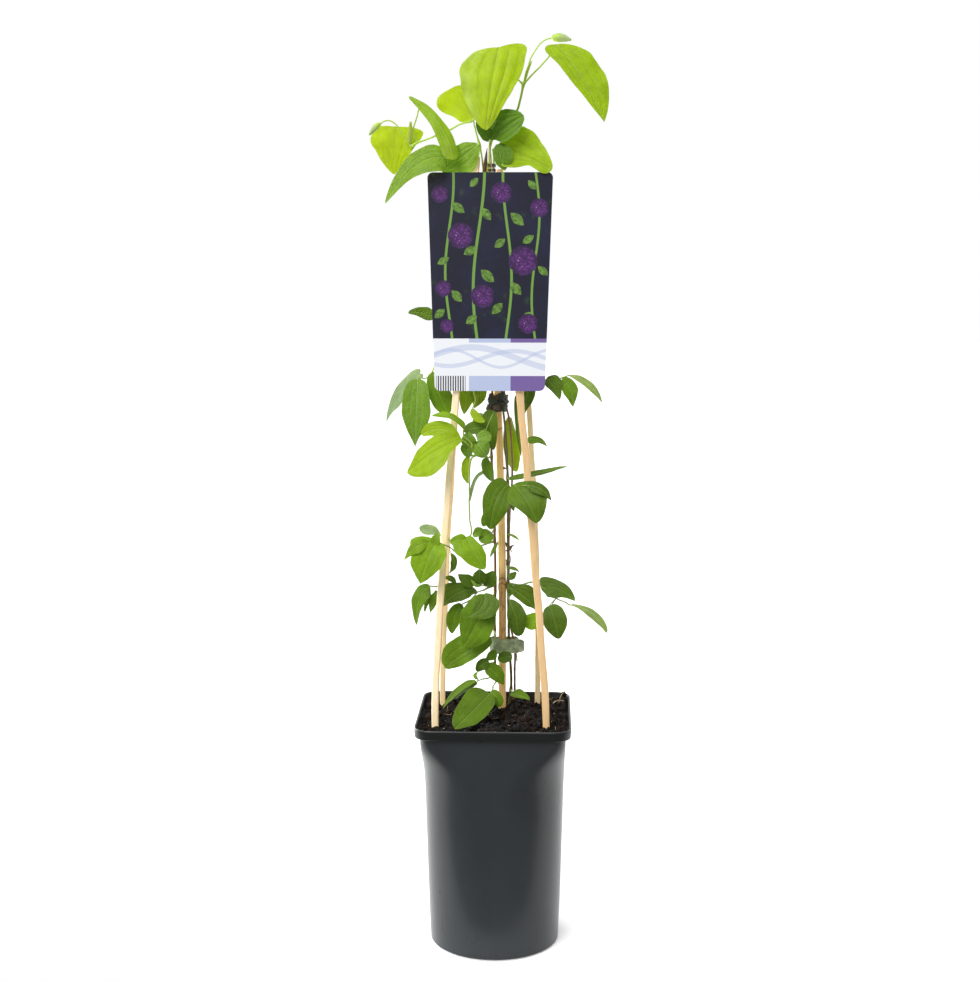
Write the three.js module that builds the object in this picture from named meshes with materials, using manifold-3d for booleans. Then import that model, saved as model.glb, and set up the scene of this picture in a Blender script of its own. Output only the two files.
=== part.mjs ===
// Clematis plant in a square nursery pot, trained on a small frame of bamboo canes.
// Millimetres, +Z up, origin at the middle of the pot's base, -Y towards the viewer.
import * as THREE from 'three';
import { mergeVertices } from 'three/addons/utils/BufferGeometryUtils.js';
import Module from 'manifold-3d';

const wasm = await Module();
wasm.setup();

// ---------- driving dimensions ----------
const GAP = 0.3; // clearance between neighbouring pieces

const POT_HEIGHT = 200;
const POT_RIM_HALF = 65; // half of the 130 mm square rim
const POT_TOP_HALF = 60.5; // half width of the body under the rim
const POT_BASE_RADIUS = 55; // round foot
const POT_WALL = 1.5;
const POT_CORNER = 13;
const RIM_DEPTH = 8;
const BLEND_LEVELS = [120, 140, 152, 163, 173, 182]; // where the round body turns square
const FLOOR_TOP = 4.5;
const GROOVE_DEPTH = 3;
const GROOVE_INNER = 22;
const GROOVE_OUTER = 46;
const DRAIN_COUNT = 8;
const DRAIN_RADIUS = 4;
const DRAIN_CIRCLE = 36;

const SOIL_LEVEL = 194.6;
const CANE_FOOT = 65; // the canes are pushed in this deep
const CANE_HALF_WIDTH = 3;
const BACK_CANE_HALF_WIDTH = 2.4;
const CANE_HALF_DEPTH = 2.25;
const CENTRE_CANE_RADIUS = 3.4;

const LABEL_TOP_WIDTH = 102;
const LABEL_BASE_WIDTH = 90;
const LABEL_HEIGHT = 176.6;
const LABEL_THICKNESS = 0.8;
const LABEL_CORNER = 4.5;
const LABEL_BASE_Z = 475;
const LABEL_BASE_Y = -21.4;
const LABEL_LEAN = 0.052; // radians, the card leans back with the canes
const LABEL_X = -3.4;

const BLADE_THICKNESS = 1.2;
const PETIOLE_RADIUS = 0.75;

// stations along a leaf blade, from base to tip, and the ones that smaller leaflets keep
const STATIONS = [0, 0.12, 0.3, 0.5, 0.7, 0.88, 1];
const ALL_ROWS = [0, 1, 2, 3, 4, 5, 6];
const MEDIUM_ROWS = [0, 1, 3, 5, 6];
const SMALL_ROWS = [0, 2, 4, 6];
const MEDIUM_LENGTH = 36;
const SMALL_LENGTH = 24;

// ---------- solids ----------
function toManifold(geometry) {
  const plain = geometry.clone();
  plain.deleteAttribute('normal');
  plain.deleteAttribute('uv');
  const merged = mergeVertices(plain, 1e-4);
  return new wasm.Manifold(new wasm.Mesh({
    numProp: 3,
    vertProperties: new Float32Array(merged.attributes.position.array),
    triVerts: new Uint32Array(merged.index.array),
  }));
}

function toGeometry(manifold) {
  const mesh = manifold.getMesh();
  const geometry = new THREE.BufferGeometry();
  geometry.setAttribute('position', new THREE.BufferAttribute(mesh.vertProperties, 3));
  geometry.setIndex(new THREE.BufferAttribute(mesh.triVerts, 1));
  const flat = geometry.toNonIndexed();
  flat.computeVertexNormals();
  return flat;
}

function unite(geometries) {
  return geometries.map(toManifold).reduce((sum, next) => sum.add(next));
}

function vec(p) {
  return new THREE.Vector3(p[0], p[1], p[2]);
}

function mapVertices(geometry, place) {
  const position = geometry.attributes.position;
  const v = new THREE.Vector3();
  for (let i = 0; i < position.count; i += 1) {
    v.fromBufferAttribute(position, i);
    const p = place(v);
    position.setXYZ(i, p.x, p.y, p.z);
  }
  return geometry;
}

// half width of a square with rounded corners, seen in one direction
function roundedSquare(angle, half, corner) {
  const c = Math.abs(Math.cos(angle));
  const s = Math.abs(Math.sin(angle));
  const flat = half / Math.max(c, s);
  const core = half - corner;
  if (Math.min(c, s) * flat <= core) return flat;
  const along = (c + s) * core;
  return along + Math.sqrt(Math.max(along * along - 2 * core * core + corner * corner, 0));
}

// stacked rounded-square sections, as a bent cylinder; rings are [z, half width, corner radius]
function stackedBody(rings, segments) {
  const geometry = new THREE.CylinderGeometry(1, 1, 1, segments, rings.length - 1);
  geometry.rotateX(Math.PI / 2);
  return mapVertices(geometry, (v) => {
    const row = Math.round((v.z + 0.5) * (rings.length - 1));
    const [z, half, corner] = rings[row];
    if (Math.hypot(v.x, v.y) < 0.5) return new THREE.Vector3(0, 0, z);
    const even = Math.atan2(v.y, v.x);
    const angle = even + 0.16 * Math.sin(4 * even);
    const reach = roundedSquare(angle, half, corner);
    return new THREE.Vector3(reach * Math.cos(angle), reach * Math.sin(angle), z);
  });
}

// the pot's section at a height: a circle at the foot that turns into a rounded square
function potSection(z, inset) {
  const t = Math.min(Math.max(z / (POT_HEIGHT - RIM_DEPTH), 0), 1);
  const half = POT_BASE_RADIUS + (POT_TOP_HALF - POT_BASE_RADIUS) * t ** 0.8 - inset;
  const roundness = (1 - t ** 12.8) ** 4;
  const corner = POT_CORNER + (POT_BASE_RADIUS - POT_CORNER) * roundness - inset;
  return [z, half, Math.min(corner, half)];
}

function potRings(levels, inset) {
  return levels.map((z) => potSection(z, inset));
}

// a round rod along a curve, tapering as radius(t) says; flat rods keep their width across x
function rod(points, radius, sides, steps, flat = null) {
  const curve = new THREE.CatmullRomCurve3(points.map(vec), false, 'centripetal');
  const frames = curve.computeFrenetFrames(steps, false);
  const geometry = new THREE.CylinderGeometry(1, 1, 1, sides, steps);
  return mapVertices(geometry, (v) => {
    const t = Math.min(Math.max(v.y + 0.5, 0), 1);
    const row = Math.round(t * steps);
    const along = frames.tangents[row];
    let across = frames.normals[row];
    if (flat) across = new THREE.Vector3().crossVectors(along, new THREE.Vector3(0, 1, 0));
    across = across.clone().normalize();
    const depth = new THREE.Vector3().crossVectors(across, along);
    const wide = flat ? flat[0] : radius(t);
    const deep = flat ? flat[1] : radius(t);
    return curve.getPointAt(t)
      .addScaledVector(across, v.x * wide)
      .addScaledVector(depth, v.z * deep);
  });
}

// flat rounded slot, as a closed band around what it holds
function band(halfLength, inner, wall, height) {
  const slot = (r) => {
    const shape = new THREE.Shape();
    shape.absarc(halfLength, 0, r, -Math.PI / 2, Math.PI / 2, false);
    shape.absarc(-halfLength, 0, r, Math.PI / 2, 1.5 * Math.PI, false);
    return shape;
  };
  const outline = slot(inner + wall);
  outline.holes.push(slot(inner));
  return new THREE.ExtrudeGeometry(outline, { depth: height, bevelEnabled: false, curveSegments: 5 });
}

// ---------- leaves ----------
// a blade follows a curved midrib from base over mid to tip; right and left are its half
// widths at the five inner stations, lobe pulls the base corners back, as one number or as a
// right and left pair, fold lifts both halves
function blade(base, mid, tip, face, right, left, lobe, fold) {
  return { base, mid, tip, face, right, left, lobe, fold: THREE.MathUtils.degToRad(fold) };
}

function leaf(name, stem, stalks, blades) {
  return { name, stem, stalks, blades };
}

function rowsFor(length) {
  if (length < SMALL_LENGTH) return SMALL_ROWS;
  return length < MEDIUM_LENGTH ? MEDIUM_ROWS : ALL_ROWS;
}

function bladeSolid(b) {
  const start = vec(b.base);
  const end = vec(b.tip);
  const control = vec(b.mid).multiplyScalar(2).addScaledVector(start, -0.5).addScaledVector(end, -0.5);
  const midrib = new THREE.QuadraticBezierCurve3(start, control, end);
  const face = vec(b.face).normalize();
  const rows = rowsFor(start.distanceTo(end));
  const geometry = new THREE.BoxGeometry(1, 1, 1, 2, rows.length - 1, 1);
  return mapVertices(geometry, (v) => {
    const row = rows[Math.round((v.y + 0.5) * (rows.length - 1))];
    const widths = v.x > 0 ? b.right : b.left;
    const inner = row > 0 && row < STATIONS.length - 1;
    const width = inner ? Math.max(widths[row - 1], 0.6) : 0.5;
    const side = Math.sign(v.x);
    const lobe = Array.isArray(b.lobe) ? b.lobe[v.x > 0 ? 0 : 1] : b.lobe;
    const share = widths[0] / Math.max(...b.right, ...b.left);
    const pulled = row === 1 ? lobe * 0.68 * share * Math.abs(side) : 0;
    const s = STATIONS[row] - pulled;
    const along = midrib.getTangent(Math.max(s, 0));
    const p = midrib.getPoint(Math.max(s, 0));
    if (s < 0) p.addScaledVector(along, s * start.distanceTo(end));
    const normal = face.clone().addScaledVector(along, -face.dot(along)).normalize();
    const across = new THREE.Vector3().crossVectors(along, normal);
    return p
      .addScaledVector(across, side * width * Math.cos(b.fold))
      .addScaledVector(normal, Math.abs(side) * width * Math.sin(b.fold) + v.z * BLADE_THICKNESS);
  });
}

function nearestOn(curve, target) {
  const samples = curve.getSpacedPoints(240);
  let best = 0;
  samples.forEach((p, i) => {
    if (p.distanceTo(target) < samples[best].distanceTo(target)) best = i;
  });
  return best / 240;
}

// where a stalk leaves its stem: just off the stem's skin, towards the stalk's next point
function stalkStart(stem, next) {
  const t = nearestOn(stem.curve, next);
  const centre = stem.curve.getPointAt(t);
  const along = stem.curve.getTangentAt(t);
  const away = next.clone().sub(centre);
  away.addScaledVector(along, -away.dot(along)).normalize();
  const reach = stem.radius(t) + GAP + 0.15;
  return {
    root: centre.clone().addScaledVector(away, reach),
    elbow: centre.clone().addScaledVector(away, reach + 1.2),
  };
}

// a tube that starts on another stalk begins a little inside it
function setBack(from, towards) {
  return from.clone().addScaledVector(towards.clone().sub(from).normalize(), -0.45);
}

function leafGeometry(spec) {
  const parts = [];
  const knots = [];
  spec.stalks.forEach((stalk, i) => {
    let points = stalk.map(vec);
    if (i === 0 && spec.stem) {
      const { root, elbow } = stalkStart(spec.stem, points[1]);
      const rest = points.slice(1).filter((p) => p.distanceTo(elbow) > 1.5);
      points = [root, elbow, ...rest];
    } else {
      points[0] = setBack(points[0], points[1]);
    }
    knots.push(...points.slice(1));
    parts.push(rod(points.map((p) => p.toArray()), () => PETIOLE_RADIUS, 4, points.length));
  });
  spec.blades.forEach((b) => {
    const base = vec(b.base);
    const near = knots.reduce((a, p) => (p.distanceTo(base) < a.distanceTo(base) ? p : a));
    const inside = new THREE.Vector3().lerpVectors(base, vec(b.mid), 0.18);
    if (near.distanceTo(inside) > 0.5) {
      const first = setBack(near, inside);
      const middle = new THREE.Vector3().lerpVectors(first, inside, 0.5);
      const route = [first.toArray(), middle.toArray(), inside.toArray()];
      parts.push(rod(route, () => PETIOLE_RADIUS, 4, 1));
    }
    parts.push(bladeSolid(b));
  });
  return toGeometry(unite(parts));
}

// ---------- stems ----------
function stem(points, from, to, sides, steps) {
  const radius = (t) => from + (to - from) * t;
  const curve = new THREE.CatmullRomCurve3(points.map(vec), false, 'centripetal');
  return { points, radius, curve, sides, steps };
}

const stemLeft = stem([
  [12, 32, 172], [12, 31, 195.5], [13.5, 28, 217], [13, 23, 234.5], [11.8, 17, 253.5],
  [11.5, 15, 276], [11, 13, 302.5], [11, 11, 329], [11, 9, 355], [11, 7, 381],
  [10.5, 5, 406.5], [9.5, 2, 432], [7.5, -1, 453.5], [6, -2, 466], [2, -7, 520],
  [-3, -8.5, 562], [-8.4, -5, 610], [-9.6, -1.4, 656], [-12, -0.8, 671.5], [-15.5, 0.5, 684.5], [-17.5, 2, 693],
], 1.3, 0.8, 5, 24);

const stemRight = stem([
  [6.5, 31, 172], [6, 30, 194], [4, 28, 212], [0, 22, 234], [-0.5, 18, 253], [-0.4, 15, 280],
  [0, 13, 306.5], [0, 12, 328.5], [-0.4, 10, 350.5], [-0.8, 9, 372], [-1.8, 6, 398],
  [-2.8, 2, 419.5], [-2.6, -1, 441], [-1.8, -2, 466], [-5, -1.5, 520],
  [-5.5, -2, 562], [-4.5, -4.5, 613.5],
  [-4, -7, 656], [-4, -6.5, 665.5], [-3, -4, 676], [6.5, 2, 688.5], [17, 5, 700],
  [20.5, 5, 710.5], [23, 4, 722.5],
], 1.2, 1, 5, 28);

const stemThird = stem([
  [16, 35, 172], [16, 34, 195], [16.5, 31, 214.5], [16.5, 27, 230.5], [17, 20, 244],
  [15.6, 18, 257], [13, 18.5, 272], [11.5, 18.5, 293], [11.5, 18, 319.5], [11.5, 17, 345.5],
  [12.5, 14, 372], [14.3, 10, 397.5], [14, 7, 423.5], [12, 4, 449], [8.6, 1.5, 466],
  [5, 0, 548.5], [2, -3, 613.5], [-0.5, -6.5, 656], [-1, -6, 670],
], 1.1, 0.8, 5, 22);

const shootLeft = stem([
  [-19.5, 2.2, 693], [-27.5, 1, 691], [-38, 0, 685.5], [-48, 0, 681.5], [-57, -1, 678],
  [-65, -2, 675], [-68.5, -2, 672.5],
], 0.8, 0.7, 5, 7);

const STEMS = {
  stem_left: stemLeft,
  stem_right: stemRight,
  stem_third: stemThird,
  shoot_left: shootLeft,
};

// ---------- canes: foot in the soil, soil level, and up to the top ----------
const CANES = {
  cane_front_left: [[-40, -32, 65], [-44.5, -32.3, 130], [-48.6, -33.9, 195], [-41.3, -24.8, 345],
    [-28.7, -15.4, 500], [-14.3, -5.5, 664]],
  cane_front_right: [[40, -32, 65], [43, -32.6, 130], [44.3, -32.4, 195], [32.8, -24, 345],
    [18.6, -15.4, 500], [4.4, -6.8, 654]],
  cane_back_left: [[-40, 32, 65], [-44, 32.3, 130], [-46.5, 31.6, 195], [-41.1, 25, 345],
    [-31, 18.2, 500], [-26.7, 11.4, 652]],
  cane_back_right: [[30.5, 41, 65], [33.5, 43, 130], [36.2, 44.5, 195], [34.3, 34.4, 345],
    [25.9, 23.9, 500], [21.1, 13.6, 652]],
};
const CENTRE_CANE = [[4, 26.3, 65], [5.8, 20, 195], [5.6, 12.7, 345], [1.2, 5.8, 500], [-3.6, -0.2, 651.5]];

// ---------- leaf list: stalks first, then the leaflets ----------
const LEAVES = [
  leaf('leaf_crown_right', stemRight, [
    [[22.5, 4, 723], [34, 0, 733.5], [43.5, -4, 743], [47, -5, 748.5], [49.5, -4, 753]],
  ], [
    blade([49.5, -5, 753], [71, -12, 724], [88.5, -14, 690.8], [0.25, -0.9, 0.3],
      [12.5, 10.5, 9.5, 6.5, 3], [14, 18, 18.8, 15.6, 8], [0.16, -0.12], 8),
  ]),
  leaf('leaf_crown_centre', stemRight, [
    [[22.5, 4, 723], [16, 4, 729], [10, 0, 740], [4.5, -8, 747.5], [2, -12, 749]],
  ], [
    blade([3.6, -14, 749.5], [-2.5, -22, 717.5], [-6.2, -24, 683.8], [-0.05, -1, 0.15],
      [22, 28, 25, 18.5, 10.5], [22.5, 22.5, 18, 12, 6.5], [-0.04, 0.3], -8),
  ]),
  leaf('leaf_crown_behind', shootLeft, [
    [[-17, 2, 692.5], [-17, 4, 694.5], [-18, 6, 695.5]],
  ], [
    blade([-18, 7, 695.5], [-26.5, 12, 709], [-33, 14, 722.5], [-0.1, -1, 0.1],
      [5, 9, 11.5, 11.5, 7.5], [9.5, 12.5, 17.5, 20.5, 17.5], 0.05, 8),
  ]),
  leaf('leaf_crown_folded', shootLeft, [
    [[-68.5, -2, 672.5], [-66.5, -3, 683.5], [-64, -4, 694], [-61.5, -4, 703.5]],
  ], [
    blade([-69.5, -4, 712.5], [-45.5, -11, 690.5], [-33.2, -21, 660.5], [0.35, -0.85, 0.4],
      [3.2, 5, 6, 7.4, 7.2], [3, 5.2, 6.4, 7.4, 7], 0.02, -16),
  ]),
  leaf('leaf_crown_far_left', shootLeft, [
    [[-68.5, -1, 673], [-72, 8, 679], [-77, 11, 686], [-81, 9, 689], [-85, 6, 688]],
  ], [
    blade([-81.5, 5, 689.5], [-82, 1, 669.5], [-82.5, 0, 650.5], [-0.15, -0.9, 0.35],
      [21.5, 21.5, 17, 11.5, 6], [22.5, 19.5, 14.5, 9, 4.5], [0.12, 0.02], -8),
  ]),
  leaf('leaf_crown_left_dark', stemLeft, [
    [[-12, -2, 669.5], [-23.5, 2, 670], [-32, 3, 672.5], [-38.5, -5, 672], [-41, -11, 667]],
  ], [
    blade([-38.5, -14, 662], [-62, -19, 657], [-88, -20, 626.5], [-0.2, -0.9, 0.5],
      [9, 12.5, 12, 8, 4.5], [14, 14, 11, 6.5, 3], 0.06, 6),
    blade([-42, -12.6, 654.6], [-48, -13.2, 654.6], [-56, -13.7, 654.2], [0, -1, 0.25],
      [2.5, 3.5, 3.5, 3, 1.5], [2.5, 2.5, 2.5, 1.5, 1], 0, 6),
  ]),
  leaf('leaf_crown_mid_dark', stemLeft, [
    [[-12, -1, 672], [-13, -7, 675]],
  ], [
    blade([-13.5, -8.6, 674], [-27, -5.6, 663.5], [-43.5, -1.6, 653], [-0.1, -1, 0.25],
      [5, 9.5, 11, 12, 10], [7, 13, 15.5, 14.5, 7.5], 0.06, 6),
  ]),
  leaf('leaf_crown_curled', stemRight, [
    [[-4, -2, 673], [-3.5, -6, 676.5]],
  ], [
    blade([-3.5, -7, 678], [8.5, -14, 687], [23.8, -16, 695.8], [-0.2, -0.95, 0.3],
      [3.5, 10, 12.5, 11.5, 7], [6.5, 11.5, 14.5, 12.5, 8], 0.04, 10),
    blade([-4.5, -8, 676.5], [-10, -12, 684], [-14.5, -14, 692], [0.3, -0.9, 0.3],
      [5, 7.5, 7.5, 6, 3], [3, 5, 5, 4, 2], 0.04, 20),
  ]),
  leaf('leaf_crown_right_lime', stemThird, [
    [[-1, -6, 669], [1.8, -6.4, 671.4]],
  ], [
    blade([2.8, -6.6, 672.4], [22.5, -10, 665], [46.5, -14, 653], [0, -0.95, 0.4],
      [11, 16, 13, 5.6, 6.8], [10.5, 22, 22, 16, 9], 0.06, 6),
    blade([2.8, -10.5, 674], [5, -14, 663.5], [8.5, -13.5, 652.6], [-0.2, -1, 0.2],
      [3.5, 5.5, 5.5, 5, 2.5], [6, 9.5, 10.5, 9, 4.5], 0.04, 6),
  ]),
  leaf('leaf_upper_left_tip', stemLeft, [
    [[-37, -4, 524], [-43.5, -4, 529.5], [-50, -4, 534]],
  ], [
    blade([-50, -4, 534.5], [-60.5, -6, 538], [-71, -8, 538], [0, -1, 0.25],
      [4, 6, 5, 4, 2.5], [4, 5, 4, 2.5, 1.5], 0.05, 8),
  ]),
  leaf('leaf_upper_right', stemLeft, [
    [[21, -4, 478], [32.5, -5, 480.5], [42.5, -6, 482], [52.5, -6, 484], [61.5, -6, 487]],
  ], [
    blade([42.5, -7, 484], [49, -9, 477.5], [54, -10, 467], [0, -1, 0.25],
      [4, 5, 4, 3, 1.5], [5, 8.5, 8.5, 5, 2.5], 0.06, 8),
    blade([56.5, -6, 484.5], [63, -8, 474], [65, -8, 461], [0, -1, 0.25],
      [4, 6.5, 6.5, 4.5, 2.5], [4, 6, 6.5, 4, 1.5], 0.06, 8),
    blade([61.5, -5, 487], [76.5, -8, 480], [89, -8, 464.5], [0.3, -0.8, 0.5],
      [2, 4, 4.5, 3.5, 1.5], [1.5, 3, 3.5, 3.5, 2], 0.05, 20),
  ]),
  leaf('leaf_upper_behind_cane', stemLeft, [
    [[14, 4, 489], [20, 3, 492.5], [26, 2, 489]],
  ], [
    blade([26, 2, 488.5], [27, 0, 472], [24.5, 2, 453.5], [0, -1, 0.25],
      [6, 10, 10, 6, 2.5], [5, 7.5, 7, 5, 1.5], 0.06, 8),
    blade([17.5, 4, 469], [19.5, 4, 442], [22, 4, 418], [0.4, -1, 0],
      [2, 2.5, 2.5, 2, 1], [2, 2, 2, 2, 1], 0.02, 6),
  ]),
  leaf('leaf_upper_left_compound', stemLeft, [
    [[-35, -8, 506], [-45, -8, 501], [-49, -8, 496], [-51, -8, 490.5], [-56.5, -9, 484.5], [-62.5, -10, 485.5]],
  ], [
    blade([-61.5, -8, 488.5], [-76.5, -10, 474], [-89.5, -12, 448.5], [-0.5, -0.8, 0.3],
      [5.5, 6.5, 6.5, 5.5, 3], [5.5, 6.5, 6.5, 6.5, 2], 0.14, 6),
    blade([-63, -14, 483.5], [-64, -20, 456.5], [-65, -18, 428.5], [0, -1, 0.1],
      [9, 12, 12, 8.5, 3.5], [8.5, 11, 12, 9, 2.5], 0.06, 8),
    blade([-51, -8, 489.5], [-46.5, -9, 473], [-38, -6, 454.5], [0, -1, 0.25],
      [5, 7.5, 8.5, 8.5, 6], [5, 8.5, 10, 10, 6], 0.05, 8),
  ]),
  leaf('leaf_side_shoot', stemRight, [
    [[-1, 6, 413], [-5.5, -6, 418], [-10.5, -18, 422.5], [-18, -26, 428.5], [-22.5, -29, 433], [-26, -30, 435.5]],
    [[-18, -26, 428.5], [-18, -24, 431.5], [-24.5, -26, 438.5], [-25, -27, 441.5], [-24, -28, 446]],
    [[-5.5, -6, 418], [-7, -10, 421], [-10, -14, 424], [-15, -18, 431]],
    [[-10, -14, 424], [-11.5, -18, 421], [-16.5, -17, 421.5], [-21, -16, 420.5]],
    [[-5.5, -6, 418], [-8, -8, 416], [-3, -4, 407.5], [-8, -8, 406.5]],
    [[-10.5, -18, 422.5], [-18, -22, 420], [-20, -24, 408.5], [-20, -28, 385.5],
      [-19.5, -31, 369.5], [-18, -32, 358], [-21.5, -33, 355]],
  ], [
    blade([-26, -31, 435.5], [-46.5, -38, 427], [-70.5, -34, 408.5], [-0.1, -0.95, 0.4],
      [9.5, 12, 11.5, 10, 4.5], [3.5, 7, 14, 16.5, 10.5], 0.06, 8),
    blade([-28, -30, 438.5], [-45, -27, 444], [-59.5, -25, 439], [0, -1, 0.3],
      [3.5, 6.5, 7, 6.5, 4], [3.5, 6.5, 6.5, 5, 3.5], 0.04, 8),
    blade([-24, -28, 446], [-35.5, -31, 455], [-50.5, -28, 455], [-0.2, -0.5, 0.9],
      [4, 4, 4, 4, 2.5], [4, 4, 4, 4, 2.5], 0.06, 8),
    blade([-15.5, -19, 432.5], [-10.5, -23, 428], [-6, -20, 421], [0.2, -1, 0.3],
      [5, 7.5, 8, 7, 4.5], [4.5, 7, 8, 7, 4.5], 0.05, 10),
    blade([-17.5, -18, 427.5], [-20.5, -21, 434], [-20.5, -20, 441], [-0.2, -1, 0.3],
      [4, 6, 6.5, 5.5, 3.5], [4, 6, 6.5, 5.5, 3.5], 0.05, 14),
    blade([-18, -18, 431], [-22, -20, 427], [-20, -18, 420], [-0.4, -1, 0.1],
      [4, 5, 6, 5, 3.5], [3.5, 4.5, 5.5, 5, 3.5], 0.05, 10),
    blade([-13.5, -17, 434], [-8, -19.5, 437], [-2, -17, 438], [0.1, -0.9, 0.5],
      [4, 5.5, 6, 5.5, 3.5], [4, 5.5, 6, 5.5, 3.5], 0.05, 10),
    blade([-21, -16, 420.5], [-23.5, -18, 409.5], [-21, -16, 397.5], [-0.4, -1, 0.1],
      [2.5, 3.8, 3.8, 3.5, 2.2], [2.4, 3, 3, 2.8, 1.2], 0.03, 12),
    blade([-8, -8, 418.5], [-5, -11, 408.5], [-3, -6, 398.5], [-0.3, -1, 0.1],
      [3.5, 5, 5, 4.5, 2.5], [3, 4.5, 5, 4.5, 2.5], 0.04, 16),
    blade([-8, -9, 406.5], [-16, -14, 400.5], [-20, -12, 382.5], [0, -1, 0.25],
      [1.5, 1.5, 1.5, 1.5, 1], [1.5, 1.5, 1.5, 1.5, 1], 0.02, 12),
    blade([-22.5, -34, 356], [-15.5, -40, 344.5], [-6.5, -38, 330], [0.1, -0.95, 0.3],
      [12.5, 14, 11.5, 9, 5], [5, 6.5, 8, 7.5, 4], 0.1, 6),
    blade([-22.5, -35, 352.5], [-29, -37, 354], [-35, -37, 350.5], [0.1, -0.95, 0.3],
      [3.5, 5, 4, 3.5, 2.5], [3.5, 5, 5, 4, 2.5], 0.04, 6),
  ]),
  leaf('leaf_upper_hanging', stemRight, [
    [[-5.5, -2, 492], [-12, -3, 494], [-19.5, -1, 486]],
    [[-19.5, -1, 486], [-17, -10, 474], [-15.5, -14, 466], [-17.6, -15.5, 460.6]],
  ], [
    blade([-19.5, -2, 484.5], [-23, -4, 469.5], [-25.5, -3, 454], [0, -1, 0.25],
      [4, 6.5, 6.5, 5, 2.5], [5, 7.5, 7.5, 5, 2.5], 0.06, 6),
    blade([-12, -4, 480], [-13.5, -5, 470], [-17, -3, 459], [0, -1, 0.25],
      [4, 6, 6.5, 5, 2], [4.5, 6.5, 6.5, 5, 2], 0.05, 6),
    blade([-18, -15.5, 460], [-14, -18, 453.5], [-7.5, -18, 449.5], [0, -1, 0.25],
      [2.5, 3.8, 4, 3.5, 2], [2, 3, 3.2, 3, 1.8], 0.04, 15),
  ]),
  leaf('leaf_upper_dark_clump', stemRight, [
    [[2, -1, 432.5], [-1.5, -6, 436.5], [-7, -12, 442]],
  ], [
    blade([-0.5, -8, 457.5], [-3, -10, 442], [-0.5, -8, 425], [0, -1, 0.25],
      [7, 8.5, 8.5, 7, 4], [4, 5.5, 6, 5, 3], 0.05, 8),
    blade([-8.5, -12, 443.5], [-16.5, -15, 444], [-26, -14, 441.5], [0, -0.9, 0.4],
      [3, 4.5, 5.5, 5, 3], [3, 4.5, 5.5, 5, 3], 0.05, 8),
  ]),
  leaf('leaf_middle_pale_back', stemThird, [
    [[12.5, 4, 449], [13, 12, 450]],
    [[13, 12, 450], [19, 11, 434], [26, 9, 432]],
  ], [
    blade([10.5, 13.5, 450], [13.5, 16, 426], [18, 15, 404], [0, -1, 0.25],
      [3, 5.5, 7, 7, 4.5], [3.5, 5.5, 6.5, 6, 3.5], 0.03, 8),
    blade([26, 9, 432], [36, 8, 432], [43.5, 7, 426.5], [0, -1, 0.25],
      [3.5, 4.5, 3, 2, 1], [1.5, 2.5, 2.5, 2, 1], 0.03, 8),
  ]),
  leaf('leaf_middle_long_right', stemLeft, [
    [[7.5, 2, 397], [11.5, 0, 399.5]],
  ], [
    blade([12, -1, 400], [33.5, -4, 404.5], [60.5, -6, 411.5], [0, -0.5, 0.85],
      [3, 3.5, 3.5, 3, 1.5], [3.5, 4, 4, 3.5, 2], 0.03, 8),
  ]),
  leaf('leaf_middle_dark_left', stemLeft, [
    [[9.5, 2, 392], [11, -4, 395]],
    [[11, -4, 395], [12, -6, 392], [15.5, -16, 396.5]],
  ], [
    blade([11.5, -6, 396], [1.5, -16, 383], [-3, -14, 359], [0, -1, 0.25],
      [9.5, 12, 11.5, 9, 5.5], [6.5, 9.5, 12, 11, 6.5], 0.06, 8),
    blade([1.5, -8, 379.5], [-6, -9, 370.5], [-9, -6, 360], [0, -1, 0.25],
      [2.5, 3.5, 3.5, 3.5, 2.5], [2.5, 3.5, 3.5, 3.5, 2.5], 0.03, 6),
    blade([16.5, -23, 398], [28, -36, 385], [36, -36, 368], [0.1, -1, 0.2],
      [9, 13.5, 10, 7, 4], [8.5, 16.5, 18, 13.5, 7.5], 0.06, 7),
    blade([27.5, -33, 398.5], [38.5, -37, 396.5], [47.5, -36, 386.5], [0.1, -1, 0.2],
      [3.5, 5, 5, 3.5, 1.5], [3.5, 4, 4, 3.5, 1.5], 0.04, 7),
    blade([16, -20, 394], [15, -24, 386], [16.5, -24, 376], [-0.1, -1, 0.1],
      [2.5, 3.5, 3.5, 2.5, 1.5], [2.5, 3.5, 3.5, 2.5, 1.5], 0.03, 7),
  ]),
  leaf('leaf_middle_clump', stemRight, [
    [[0.5, -2, 355], [-2, -6, 355]],
  ], [
    blade([-2, -7, 355], [-7, -12, 353], [-12.5, -12, 349], [-0.1, -0.9, 0.4],
      [4.5, 6.5, 6.5, 5.5, 3.5], [4, 6, 6.5, 6, 4], 0.04, 10),
    blade([-9.5, -11, 356.5], [-13.5, -13, 356.5], [-17.5, -12, 352.5], [-0.3, -0.9, 0.4],
      [3, 4, 4.5, 3.5, 2.5], [3, 4, 4.5, 3.5, 2.5], 0.04, 10),
  ]),
  leaf('leaf_lower_left_light', stemRight, [
    [[-23.5, -14, 333], [-30.5, -22, 341], [-36, -32, 347], [-41, -38, 350], [-46, -40, 351.5]],
    [[-30.5, -22, 341], [-38.5, -11, 351], [-46, -12, 354.5]],
  ], [
    blade([-46, -41, 353.5], [-53, -47, 339], [-59.5, -44, 318.5], [-0.1, -0.95, 0.3],
      [13.5, 19.5, 14.5, 12.5, 6], [9.5, 13, 13, 10, 5], 0.1, 6),
    blade([-52.5, -43, 352], [-62.5, -46, 349.5], [-72.5, -44, 338], [-0.1, -0.95, 0.3],
      [3.5, 5, 5, 3.5, 1.5], [3.5, 5, 6, 4, 1.5], 0.04, 6),
    blade([-49, -42, 349], [-46.5, -43, 355.5], [-43.5, -41, 361.5], [-0.1, -0.95, 0.3],
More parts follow.
